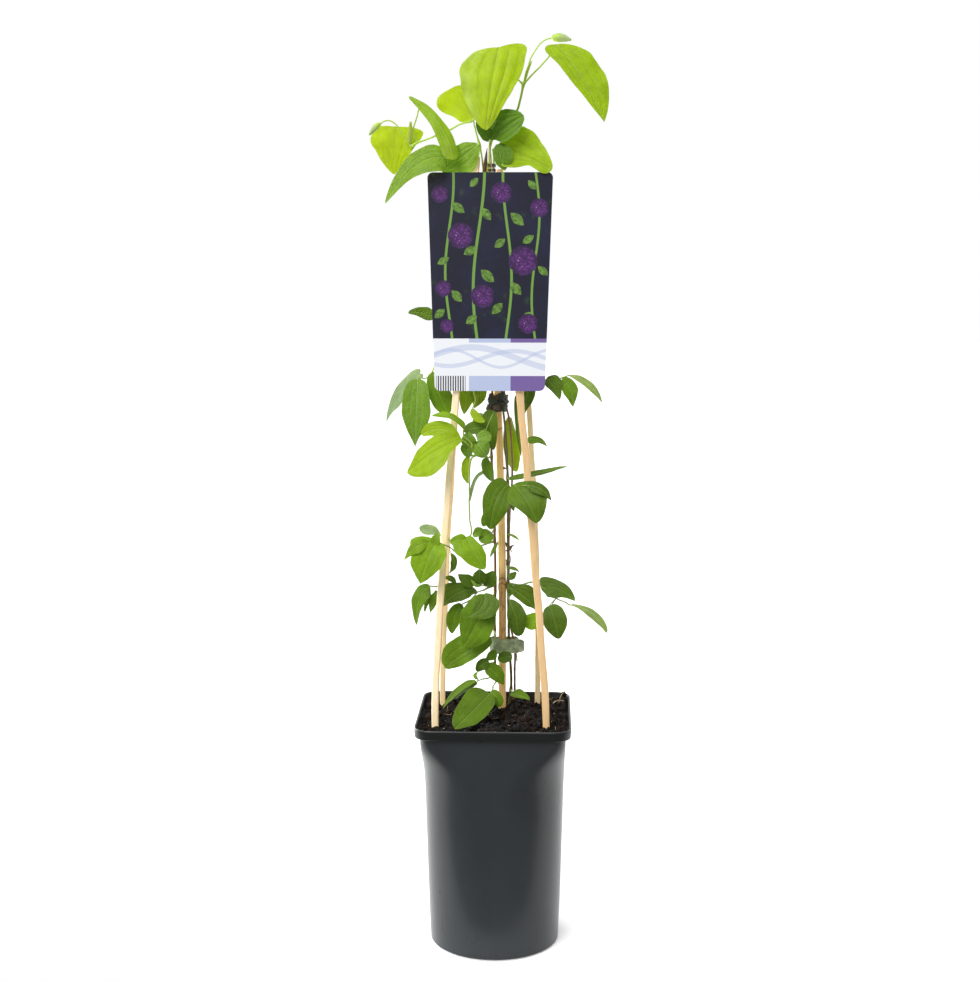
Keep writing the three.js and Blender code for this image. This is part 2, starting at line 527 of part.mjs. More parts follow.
      [3.5, 4, 4, 2.5, 1], [3.5, 4, 4, 2.5, 1], 0.03, 6),
    blade([-46, -12, 354.5], [-54.5, -14, 359], [-62, -14, 357.5], [0, -1, 0.25],
      [2.5, 4, 4, 4, 3.5], [2.5, 4, 5, 5, 3.5], 0.04, 8),
    blade([-36.5, -10, 338], [-33.5, -11, 330], [-38, -10, 320.5], [0.3, -1, 0.1],
      [1.5, 2.5, 3.5, 2.5, 1], [1.5, 2.5, 2.5, 2.5, 1], 0.03, 8),
  ]),
  leaf('leaf_lower_left_droop', stemRight, [
    [[-1, 14, 311], [-14, 10, 311], [-28.5, 0, 309.5], [-41, -9, 310], [-48.5, -16, 311], [-53.5, -19.5, 312]],
  ], [
    blade([-53.5, -20, 312], [-62.5, -23, 300.5], [-64.5, -22, 279], [-0.3, -0.9, 0.3],
      [4.5, 6.5, 6.5, 4.5, 2.5], [4.5, 8, 6.5, 4, 2], 0.05, 8),
    blade([-53.5, -19, 309], [-56, -20, 299], [-58, -20, 290], [0, -1, 0.25],
      [1.5, 2.5, 2.5, 1.5, 1], [1.5, 2.5, 2.5, 1.5, 1], 0.03, 8),
    blade([-48.5, -18, 308], [-51, -19, 298], [-53.5, -18, 288.5], [0, -1, 0.25],
      [1.5, 3.5, 3.5, 2.5, 1], [2.5, 4, 3.5, 2.5, 1], 0.03, 8),
  ]),
  leaf('leaf_lower_left_dark', stemRight, [
    [[-4, 2, 306.5], [-9, -6, 306], [-14.5, -10, 305]],
    [[-9, -6, 306], [-5.5, -6, 308.5], [-10, -14, 312]],
    [[-14.5, -10, 305], [-20.5, -4, 297], [-27.5, -5, 293.5]],
  ], [
    blade([-14.5, -11, 305.5], [-28.5, -17, 306.5], [-44.5, -14, 293], [0, -0.9, 0.4],
      [2.5, 6, 8.5, 12, 8.5], [3.5, 7, 8, 6, 2.5], 0.05, 7),
    blade([-32, -15, 313.5], [-37, -16, 318], [-43, -15, 317], [0, -1, 0.25],
      [1.5, 2.5, 2.5, 1.5, 1], [1.5, 2.5, 2.5, 1.5, 1], 0.03, 7),
    blade([-16, -17, 314], [-23, -20, 317.5], [-30, -18, 322], [0, -1, 0.25],
      [3.5, 5, 5, 3.5, 1.5], [3.5, 5, 5, 4, 2], 0.04, 10),
    blade([-11.5, -16, 313], [-12, -18, 319.5], [-12, -16, 326], [0, -1, 0.25],
      [5, 7, 8, 5.5, 2.5], [4, 6, 6, 5, 2.5], 0.04, 10),
    blade([-7, -13, 311], [-3.5, -15, 317.5], [0, -12, 323.5], [0, -1, 0.25],
      [4.5, 6.5, 6.5, 5, 3], [4.5, 6, 6, 4.5, 2.5], 0.04, 10),
    blade([-27.5, -5, 293.5], [-34, -8, 283], [-36, -5, 268], [0, -1, 0.25],
      [4, 6, 6.5, 5.5, 3], [4, 6, 6, 5.5, 3], 0.05, 8),
  ]),
  leaf('leaf_lower_front', stemRight, [
    [[0, 8, 297], [-2, -8, 300], [-4, -18, 303.5]],
    [[-4, -18, 303.5], [-5.5, -25, 307], [-7, -30, 307.6]],
  ], [
    blade([-7, -31, 308], [-9.5, -37, 298], [-21, -37, 289], [0, -1, 0.35],
      [5, 7.5, 7, 5, 2], [8, 13, 12.5, 8, 2.5], 0.05, 6),
    blade([-4, -20, 304], [-12, -30, 286.5], [-24.5, -27, 262.5], [0.05, -0.97, 0.25],
      [10, 14, 16, 13.5, 7.5], [8.5, 11.5, 14, 15, 10], 0.05, 7),
  ]),
  leaf('leaf_lower_broad', stemRight, [
    [[2.5, 8, 263.5], [0.5, -2, 264], [-2, -10, 264]],
  ], [
    blade([-2, -12, 264.5], [-22, -17, 256], [-41.5, -14, 240.5], [0, -0.95, 0.3],
      [7, 12.5, 14.5, 15, 11], [5, 7.5, 8.5, 8, 5], 0.06, 7),
  ]),
  leaf('leaf_base_cluster', stemRight, [
    [[3.5, 8, 240.5], [-0.5, -2, 243], [-4.5, -8, 243.5]],
    [[-0.5, -2, 243], [-4, 2, 229], [-10.5, -6, 229], [-14.5, -10, 228.5]],
  ], [
    blade([2, -2, 252], [-3, -4, 249], [-7, -4, 244.5], [0, -1, 0.25],
      [2.5, 3.5, 3.5, 2.5, 1.5], [2.5, 4.5, 4.5, 3.5, 1.5], 0.04, 8),
    blade([-4.5, -8, 244.5], [-11, -11, 242.5], [-14, -9, 236], [0, -1, 0.25],
      [3.5, 4.5, 4.5, 3.5, 2.5], [3.5, 4.5, 5, 4.5, 2.5], 0.05, 8),
    blade([-7, -8, 241], [0.5, -9, 235.5], [8, -5, 224], [0, -0.95, 0.35],
      [4.5, 6, 6, 5, 2.5], [3.5, 6, 7, 6, 2.5], 0.05, 7),
    blade([-15.5, -10, 228.5], [-29, -14, 222.5], [-43.5, -12, 205], [-0.3, -0.8, 0.6],
      [2, 3, 3, 3, 2], [2, 3, 3, 3, 1], 0.04, 10),
    blade([-14.5, -9, 226.5], [-23, -10, 222.5], [-33.5, -8, 212], [-0.3, -0.8, 0.6],
      [2, 3, 3, 2, 1], [2, 3, 3, 2, 1], 0.03, 10),
  ]),
  leaf('leaf_base_under_tie', stemLeft, [
    [[12, 12, 238], [14, 6, 243], [14, 2, 246.5]],
  ], [
    blade([15, 1, 247.5], [8.5, -3, 247.5], [2.5, -2, 245], [0, -1, 0.25],
      [3, 4.5, 5, 4.5, 2.5], [3, 4.5, 5, 4.5, 2.5], 0.04, 8),
  ]),
  leaf('leaf_base_front', stemRight, [
    [[5, 14, 220], [-2, 17, 217], [-1.5, 2, 219], [-3, -10, 218]],
  ], [
    blade([-3.5, -14, 218.5], [-15, -36, 211.5], [-31, -53, 199], [0, -0.9, 0.5],
      [12, 15.5, 14.5, 12, 8.5], [7.5, 10.5, 11, 10.5, 5], 0.06, 7),
    blade([-3, -10, 219], [2.5, -12, 214.5], [5, -12, 206.5], [0, -1, 0.3],
      [3.5, 5, 5, 5, 3.5], [3.5, 4.5, 4.5, 4.5, 2.5], 0.05, 7),
  ]),
  leaf('leaf_base_small_right', stemLeft, [
    [[13.5, 24, 210], [15.5, 18, 210], [13.5, 14, 211]],
  ], [
    blade([13, 14, 211], [20, 8, 212], [30, 6, 208], [0, -0.8, 0.6],
      [2, 3, 3, 2, 1], [2, 4.5, 5.5, 4.5, 3], 0.04, 8),
  ]),
  leaf('leaf_right_near', stemLeft, [
    [[9.5, 8, 305], [12, 4, 306]],
    [[12, 4, 306], [11, 6, 297]],
  ], [
    blade([13, 3, 306], [25, 1, 299], [36, 3, 286.5], [0, -1, 0.25],
      [3.5, 5, 5, 4.5, 1.5], [4.5, 8.5, 11, 10.5, 5], 0.05, 8),
    blade([11, 4, 307], [13.5, 3, 304.5], [12, 4, 297.5], [0, -1, 0.25],
      [2.5, 3.5, 3.5, 2.5, 1], [2.5, 3.5, 3.5, 2.5, 1], 0.04, 8),
    blade([12, 5, 295.5], [18, -1, 281], [20.5, 3, 264.5], [0.1, -1, 0.2],
      [1.5, 6, 7.5, 7, 4.5], [5, 8.5, 9.5, 7.5, 5], 0.05, 7),
  ]),
  leaf('leaf_right_compound', stemLeft, [
    [[9.5, 6, 310.5], [21.5, 8, 308], [32.5, 10, 310], [42.5, 9, 304.5], [52, 6, 297], [60.5, 2, 294], [63.5, 0, 292.5]],
  ], [
    blade([39, 11, 305], [53.5, 7, 305], [68, 3, 295.5], [0.1, -0.9, 0.4],
      [5.5, 9.5, 9.5, 5.5, 2.5], [9, 8, 7, 6, 3.5], 0.05, 7),
    blade([46, 3, 291], [50.5, -3, 280], [54.5, -2, 263.5], [0, -1, 0.25],
      [6, 8.5, 10, 8.5, 5], [7, 10, 11, 9.5, 5], 0.07, 7),
    blade([41, 6, 280.5], [33.5, 5, 277.5], [24, 8, 274], [0, -1, 0.25],
      [3.5, 6, 7, 7, 4.5], [4.5, 7, 7, 7, 4.5], 0.05, 7),
    blade([63.5, 0, 292.5], [81.5, -4, 286.5], [95, -4, 269.5], [0.2, -0.8, 0.6],
      [1, 3, 5, 4, 2], [1.5, 2.5, 3.5, 4, 3], 0.03, 16),
  ]),
  leaf('leaf_right_small', stemLeft, [
    [[10.5, 4, 325], [11, 3, 323.5]],
  ], [
    blade([11, 3, 323.5], [16.5, 2, 323], [21, 2, 320], [0, -1, 0.25],
      [1, 1.5, 1.5, 1, 0.5], [1, 1.5, 1.5, 1, 0.5], 0.02, 8),
    blade([11, 5, 317], [14.5, 4, 316.5], [18, 4, 320], [0, -1, 0.25],
      [1.5, 3.5, 3.5, 2.5, 1.5], [1.5, 3.5, 3.5, 2.5, 1.5], 0.03, 8),
  ]),
  leaf('leaf_back_upper_left', stemRight, [
    [[-7, -2, 590], [-11, 5, 595], [-14, 11, 594]],
  ], [
    blade([-14, 12, 594], [-19, 27, 582], [-24, 34, 556], [-0.2, 1, 0.3],
      [7, 11, 11, 8, 4], [7, 11, 11, 8, 4], 0.08, 6),
  ]),
  leaf('leaf_back_upper_right', stemThird, [
    [[4, -1, 560], [8, 9, 572], [10, 19, 571]],
  ], [
    blade([10.5, 20, 570], [15.5, 33, 556], [20, 39, 528], [0.2, 1, 0.3],
      [7, 11, 11, 8, 4], [7, 11, 11, 8, 4], 0.08, 6),
  ]),
  leaf('leaf_back_middle', stemRight, [
    [[-3, 0, 446], [-7, 12, 452], [-9, 18, 452]],
  ], [
    blade([-9, 18, 452], [-12, 29, 444], [-13, 34, 422], [-0.1, 1, 0.3],
      [5, 8, 8, 6, 3], [5, 8, 8, 6, 3], 0.06, 6),
  ]),
  leaf('leaf_back_lower', stemRight, [
    [[0, 14, 300], [-4, 26, 294], [-7, 32, 290]],
  ], [
    blade([-7, 32, 290], [-11, 44, 279], [-14, 50, 254], [-0.1, 1, 0.3],
      [6, 9, 9, 7, 3], [6, 9, 9, 7, 3], 0.06, 6),
  ]),
];

// ---------- the scene graph ----------
const plant = new THREE.Group();

function add(name, geometry, color, roughness = 0.6, metalness = 0) {
  const material = new THREE.MeshStandardMaterial({ color, roughness, metalness });
  const mesh = new THREE.Mesh(geometry, material);
  mesh.name = name;
  plant.add(mesh);
  return mesh;
}

// pot: body and rim, hollowed, with a grooved and drilled foot
const outerLevels = [2, 60, ...BLEND_LEVELS, POT_HEIGHT - RIM_DEPTH + 1];
const foot = [[0, POT_BASE_RADIUS - 1, POT_BASE_RADIUS - 1]];
const body = toManifold(stackedBody([...foot, ...potRings(outerLevels, 0)], 40));
const rimRings = [
  [POT_HEIGHT - RIM_DEPTH, POT_RIM_HALF - 0.6, POT_CORNER + 1.4],
  [POT_HEIGHT - 1, POT_RIM_HALF, POT_CORNER + 2],
  [POT_HEIGHT, POT_RIM_HALF - 0.8, POT_CORNER + 1.2],
];
const rim = toManifold(stackedBody(rimRings, 40));
const cavityLevels = [FLOOR_TOP, 60, ...BLEND_LEVELS, POT_HEIGHT + 2];
const cavity = toManifold(stackedBody(potRings(cavityLevels, POT_WALL), 40));
const groove = toManifold(new THREE.LatheGeometry([
  new THREE.Vector2(GROOVE_INNER, -1),
  new THREE.Vector2(GROOVE_OUTER, -1),
  new THREE.Vector2(GROOVE_OUTER, GROOVE_DEPTH),
  new THREE.Vector2(GROOVE_INNER, GROOVE_DEPTH),
  new THREE.Vector2(GROOVE_INNER, -1),
], 32).rotateX(Math.PI / 2));
let potSolid = body.add(rim).subtract(cavity).subtract(groove);
for (let i = 0; i < DRAIN_COUNT; i += 1) {
  const angle = ((i + 0.5) / DRAIN_COUNT) * 2 * Math.PI;
  const drain = new THREE.CylinderGeometry(DRAIN_RADIUS, DRAIN_RADIUS, 12, 10);
  drain.rotateX(Math.PI / 2);
  drain.translate(DRAIN_CIRCLE * Math.cos(angle), DRAIN_CIRCLE * Math.sin(angle), FLOOR_TOP);
  potSolid = potSolid.subtract(toManifold(drain));
}
add('pot', toGeometry(potSolid), 0x34383a, 0.42);

function caneHalfWidth(name) {
  return name.includes('back') ? BACK_CANE_HALF_WIDTH : CANE_HALF_WIDTH;
}

// soil: fills the pot to a lumpy surface, with a bore for every cane and stem
function soilHeight(x, y) {
  const mound = 3.5 * Math.exp(-((x - 14) ** 2 + (y - 6) ** 2) / 800);
  const lumps = 1.1 * Math.sin(0.33 * x + 1) * Math.sin(0.29 * y);
  return SOIL_LEVEL + mound + lumps + 0.7 * Math.sin(0.61 * x + 0.83 * y);
}
const soilBlock = new THREE.BoxGeometry(126, 126, 1, 11, 11, 1);
mapVertices(soilBlock, (v) => {
  const z = v.z > 0 ? soilHeight(v.x, v.y) : FLOOR_TOP + GAP;
  return new THREE.Vector3(v.x, v.y, z);
});
const soilLevels = [FLOOR_TOP + GAP, 60, ...BLEND_LEVELS, POT_HEIGHT + 2];
const soilSleeve = stackedBody(potRings(soilLevels, POT_WALL + GAP), 40);
let soilSolid = toManifold(soilBlock).intersect(toManifold(soilSleeve));
for (const [name, points] of Object.entries(CANES)) {
  const bore = [caneHalfWidth(name) + GAP, CANE_HALF_DEPTH + GAP];
  const deeper = [[points[0][0], points[0][1], points[0][2] - 1], ...points.slice(1)];
  soilSolid = soilSolid.subtract(toManifold(rod(deeper, null, 8, 10, bore)));
}
const centreBore = [[CENTRE_CANE[0][0], CENTRE_CANE[0][1], CANE_FOOT - 1], ...CENTRE_CANE.slice(1)];
const centreBoreRadius = () => CENTRE_CANE_RADIUS + GAP;
soilSolid = soilSolid.subtract(toManifold(rod(centreBore, centreBoreRadius, 10, 10)));
for (const one of [stemLeft, stemRight, stemThird]) {
  const lower = [[one.points[0][0], one.points[0][1], one.points[0][2] - 1], ...one.points.slice(1, 4)];
  soilSolid = soilSolid.subtract(toManifold(rod(lower, () => one.radius(0) + GAP + 0.2, 6, 3)));
}
add('soil', toGeometry(soilSolid), 0x33241a, 0.95);

// canes: four split corner canes and one round cane in the middle
for (const [name, points] of Object.entries(CANES)) {
  const cane = rod(points, null, 8, 10, [caneHalfWidth(name), CANE_HALF_DEPTH]);
  add(name, toGeometry(toManifold(cane)), 0xeed3a4, 0.55);
}
const centreCane = rod(CENTRE_CANE, () => CENTRE_CANE_RADIUS, 10, 10);
add('cane_centre', toGeometry(toManifold(centreCane)), 0xc99a56, 0.5);

// stems and the side shoot
for (const [name, one] of Object.entries(STEMS)) {
  const solid = rod(one.points, one.radius, one.sides, one.steps);
  const color = name === 'shoot_left' ? 0x9ab04a : 0x7d5430;
  add(name, toGeometry(toManifold(solid)), color, 0.6);
}

// shoot tips: a flower bud on its stalk with a young folded leaf beside it
function shootTip(name, stalk, bud, budRadius, young, color) {
  const swell = (r) => (t) => 0.35 + (r - 0.35) * Math.sin(Math.PI * Math.min(t * 1.02, 1)) ** 0.8;
  const solid = unite([
    rod(stalk, () => 0.6, 4, stalk.length + 2),
    rod(bud, swell(budRadius), 7, 5),
    rod(young, swell(1.3), 5, 4),
  ]);
  add(name, toGeometry(solid), color, 0.5);
}
shootTip(
  'shoot_tip_right',
  [[23.3, 4, 724], [25, 4, 731], [27, 3, 737], [29, 3, 743], [32.5, 3, 749], [37, 4, 755],
    [42.5, 5, 758.5], [46.5, 5, 759]],
  [[45.5, 5, 758.9], [53, 5.5, 759.4], [61.8, 5, 757.6]],
  4,
  [[24, 4.2, 725], [26.2, 3.6, 733], [29.6, 1.4, 741]],
  0xb9c98a,
);
shootTip(
  'shoot_tip_left',
  [[-69.8, -2.2, 673.2], [-74.5, -4, 682.5], [-79.5, -6, 689.5], [-85, -7, 693],
    [-89.5, -8, 692.5], [-93, -9, 690]],
  [[-92.5, -9, 690.5], [-97, -11, 686.5], [-101.5, -12, 681]],
  2.6,
  [[-69.8, -2.4, 674], [-68.9, -3.4, 683], [-68.2, -5, 692.5]],
  0xb4c878,
);

// ties: tape round the canes and stems, closed bands with a loose tail or a knotted lump
const tieLower = band(6.3, 5.6, 0.9, 12.5);
tieLower.translate(7.6, 17.2, 247.3);
const tail = new THREE.BoxGeometry(9, 0.9, 11);
tail.rotateZ(-0.12);
tail.translate(21.6, 11.8, 254.2);
add('tie_lower', toGeometry(unite([tieLower, tail])), 0x66756a, 0.6);

const tieMiddle = band(0.6, 8.3, 1.1, 13);
tieMiddle.translate(2.6, 2.9, 457);
const lumpA = new THREE.SphereGeometry(1, 8, 5);
lumpA.scale(4.2, 2.2, 4).translate(-1.6, -5.6, 465.5);
const lumpB = new THREE.SphereGeometry(1, 8, 5);
lumpB.scale(3.6, 2, 3.8).translate(5.2, -5.4, 468);
add('tie_middle', toGeometry(unite([tieMiddle, lumpA, lumpB])), 0x2d2f26, 0.8);

const tieTop = band(1.5, 2, 0.5, 8);
tieTop.translate(-2.6, -6.5, 651);
add('tie_top', toGeometry(toManifold(tieTop)), 0x2b2a20, 0.8);

// label: a plastic card in front of the canes, with a loop round each front cane behind it
const card = new THREE.Shape();
const outline = [
  [-LABEL_BASE_WIDTH / 2, 0],
  [LABEL_BASE_WIDTH / 2, 0],
  [LABEL_TOP_WIDTH / 2, LABEL_HEIGHT],
  [-LABEL_TOP_WIDTH / 2, LABEL_HEIGHT],
].map(([x, y]) => new THREE.Vector2(x, y));
outline.forEach((corner, i) => {
  const before = outline[(i + 3) % 4].clone().sub(corner).setLength(LABEL_CORNER).add(corner);
  const after = outline[(i + 1) % 4].clone().sub(corner).setLength(LABEL_CORNER).add(corner);
  if (i === 0) card.moveTo(before.x, before.y);
  else card.lineTo(before.x, before.y);
  card.quadraticCurveTo(corner.x, corner.y, after.x, after.y);
});
card.closePath();
const cardSolid = new THREE.ExtrudeGeometry(card, {
  depth: LABEL_THICKNESS,
  bevelEnabled: false,
  curveSegments: 5,
});
cardSolid.rotateX(Math.PI / 2 - LABEL_LEAN);
cardSolid.translate(LABEL_X, LABEL_BASE_Y, LABEL_BASE_Z);
add('label', toGeometry(toManifold(cardSolid)), 0x2b2f55, 0.35);

function caneLoop(name, x, y, z) {
  const loop = new THREE.Shape();
  loop.absellipse(0, 0, CANE_HALF_WIDTH + 1.5, CANE_HALF_DEPTH + 1.5, 0, 2 * Math.PI);
  const hole = new THREE.Path();
  hole.absellipse(0, 0, CANE_HALF_WIDTH + 0.8, CANE_HALF_DEPTH + 0.8, 0, 2 * Math.PI);
  loop.holes.push(hole);
  const solid = new THREE.ExtrudeGeometry(loop, { depth: 5, bevelEnabled: false, curveSegments: 10 });
  solid.translate(x, y, z);
  add(name, toGeometry(toManifold(solid)), 0xd8dadb, 0.4);
}
caneLoop('label_loop_left', -20, -9.4, 597);
caneLoop('label_loop_right', 9.4, -9.85, 597);

// leaves
for (const spec of LEAVES) {
  add(spec.name, leafGeometry(spec), 0x5d8f2a, 0.45);
}

export default plant;
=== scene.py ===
"""Clematis in a square nursery pot, on bamboo canes, as a small Blender add-on.

Sizes are millimetres in the packed model's frame: origin under the pot, +Z up, -Y towards the viewer.
Skin turns them into metres when it makes a mesh. The camera, the lamps and the settings are metres.
"""
import math

import bpy
import numpy as np
from bpy.props import FloatProperty, FloatVectorProperty, IntProperty, PointerProperty
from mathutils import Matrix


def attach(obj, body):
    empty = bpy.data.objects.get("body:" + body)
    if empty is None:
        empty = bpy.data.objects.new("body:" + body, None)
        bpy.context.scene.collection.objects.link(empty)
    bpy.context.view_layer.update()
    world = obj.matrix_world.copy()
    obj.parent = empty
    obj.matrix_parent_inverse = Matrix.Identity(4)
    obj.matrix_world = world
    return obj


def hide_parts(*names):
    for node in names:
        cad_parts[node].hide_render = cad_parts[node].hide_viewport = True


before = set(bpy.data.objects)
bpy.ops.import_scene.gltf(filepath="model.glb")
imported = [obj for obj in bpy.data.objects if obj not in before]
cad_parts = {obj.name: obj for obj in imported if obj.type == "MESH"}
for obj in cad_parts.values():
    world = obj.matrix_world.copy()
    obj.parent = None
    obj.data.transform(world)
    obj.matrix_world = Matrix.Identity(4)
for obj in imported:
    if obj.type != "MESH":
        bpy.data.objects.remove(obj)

bl_info = {
    "name": "Potted clematis",
    "version": (1, 0, 0),
    "blender": (4, 5, 0),
    "location": "View3D > Sidebar > Clematis",
    "description": "Clematis on bamboo canes in a square pot, with a picture label",
    "category": "Object",
}

MM = 0.001
FULL = 2 * math.pi
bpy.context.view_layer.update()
ROOT = "root"


# ---------- noise and curves ----------
def ripple(points, size, seed):
    """Soft noise near -1..1: nine sines along random directions, about one wave per size."""
    rng = np.random.default_rng(seed)
    turn = rng.normal(size=(9, points.shape[-1]))
    turn *= (FULL / size) * rng.uniform(0.6, 1.5, (9, 1)) / np.linalg.norm(turn, axis=1)[:, None]
    phase = rng.uniform(0, FULL, 9)
    return np.sin(points @ turn.T + phase).sum(-1) / 3


def lattice(x, y, cell, seed):
    """Value noise 0..1 on a plane: random corners of square cells, eased into each other."""
    grid = np.random.default_rng(seed).random((256, 256))
    gx, gy = x / cell + 77.0, y / cell + 91.0
    ix, iy = np.floor(gx).astype(int), np.floor(gy).astype(int)
    sx, sy = (f * f * (3 - 2 * f) for f in (gx - ix, gy - iy))
    near, far, up, over = (grid[(ix + i) % 256, (iy + j) % 256]
                           for i, j in ((0, 0), (1, 0), (0, 1), (1, 1)))
    return (near * (1 - sx) + far * sx) * (1 - sy) + (up * (1 - sx) + over * sx) * sy


def through(knots, values, at):
    """Smooth curve through the knots that never overshoots: cubic pieces, slopes are harmonic means."""
    knots, values = np.asarray(knots, float), np.asarray(values, float)
    step = np.diff(knots)
    slope = np.diff(values) / step
    same = slope[:-1] * slope[1:] > 0
    safe = np.where(same, slope[:-1], 1.0), np.where(same, slope[1:], 1.0)
    w1, w2 = 2 * step[1:] + step[:-1], step[1:] + 2 * step[:-1]
    inner = np.where(same, (w1 + w2) / (w1 / safe[0] + w2 / safe[1]), 0.0)
    first, last = 1.5 * slope[[0, -1]] - 0.5 * inner[[0, -1]]
    tangent = np.concatenate([[first], inner, [last]])
    i = np.clip(np.searchsorted(knots, at, side="right") - 1, 0, len(step) - 1)
    t = (at - knots[i]) / step[i]
    return ((1 + 2 * t) * (1 - t) ** 2 * values[i] + t * (1 - t) ** 2 * step[i] * tangent[i]
            + t * t * (3 - 2 * t) * values[i + 1] + t * t * (t - 1) * step[i] * tangent[i + 1])


def run(points, count):
    """Evenly spaced points along the centripetal Catmull-Rom curve through the given points."""
    p = np.asarray(points, float)
    if len(p) == 2:
        p = np.array([p[0], (p[0] + p[1]) / 2, p[1]])
    p = np.vstack([2 * p[0] - p[1], p, 2 * p[-1] - p[-2]])
    knots = np.concatenate([[0], np.cumsum(np.sqrt(np.linalg.norm(np.diff(p, axis=0), axis=1)))])
    per = 40
    i = np.repeat(np.arange(1, len(p) - 2), per)
    s = np.tile(np.arange(per) / per, len(p) - 3)
    i, s = np.append(i, len(p) - 3), np.append(s, 1.0)
    t = (knots[i] + s * (knots[i + 1] - knots[i]))[:, None]

    def mix(a, b, ta, tb):
        return ((tb - t) * a + (t - ta) * b) / (tb - ta)

    k = [knots[i + j][:, None] for j in (-1, 0, 1, 2)]
    q = [p[i + j] for j in (-1, 0, 1, 2)]
    a1, a2, a3 = (mix(q[j], q[j + 1], k[j], k[j + 1]) for j in range(3))
    b1, b2 = mix(a1, a2, k[0], k[2]), mix(a2, a3, k[1], k[3])
    dense = mix(b1, b2, k[1], k[2])
    reach = np.concatenate([[0], np.cumsum(np.linalg.norm(np.diff(dense, axis=0), axis=1))])
    at = np.linspace(0, reach[-1], count)
    return np.stack([np.interp(at, reach, dense[:, a]) for a in range(3)], 1)


def unit(v):
    return v / np.maximum(np.linalg.norm(v, axis=-1, keepdims=True), 1e-12)


def turns(count):
    """A row of even angles once round."""
    return np.linspace(0, FULL, count, endpoint=False)[None, :]


# ---------- meshes ----------
def corners(grid):
    """The four corners of every cell of a grid of numbers or of vectors, in order round the cell."""
    return np.stack([grid[:-1, :-1], grid[:-1, 1:], grid[1:, 1:], grid[1:, :-1]], 2)


def sphere(lat, lon):
    """A unit ball as a grid: rings at latitudes lat of points at longitudes lon."""
    lat = lat[:, None]
    return np.stack([np.cos(lat) * np.cos(lon), np.cos(lat) * np.sin(lon), np.sin(lat) + 0 * lon], -1)


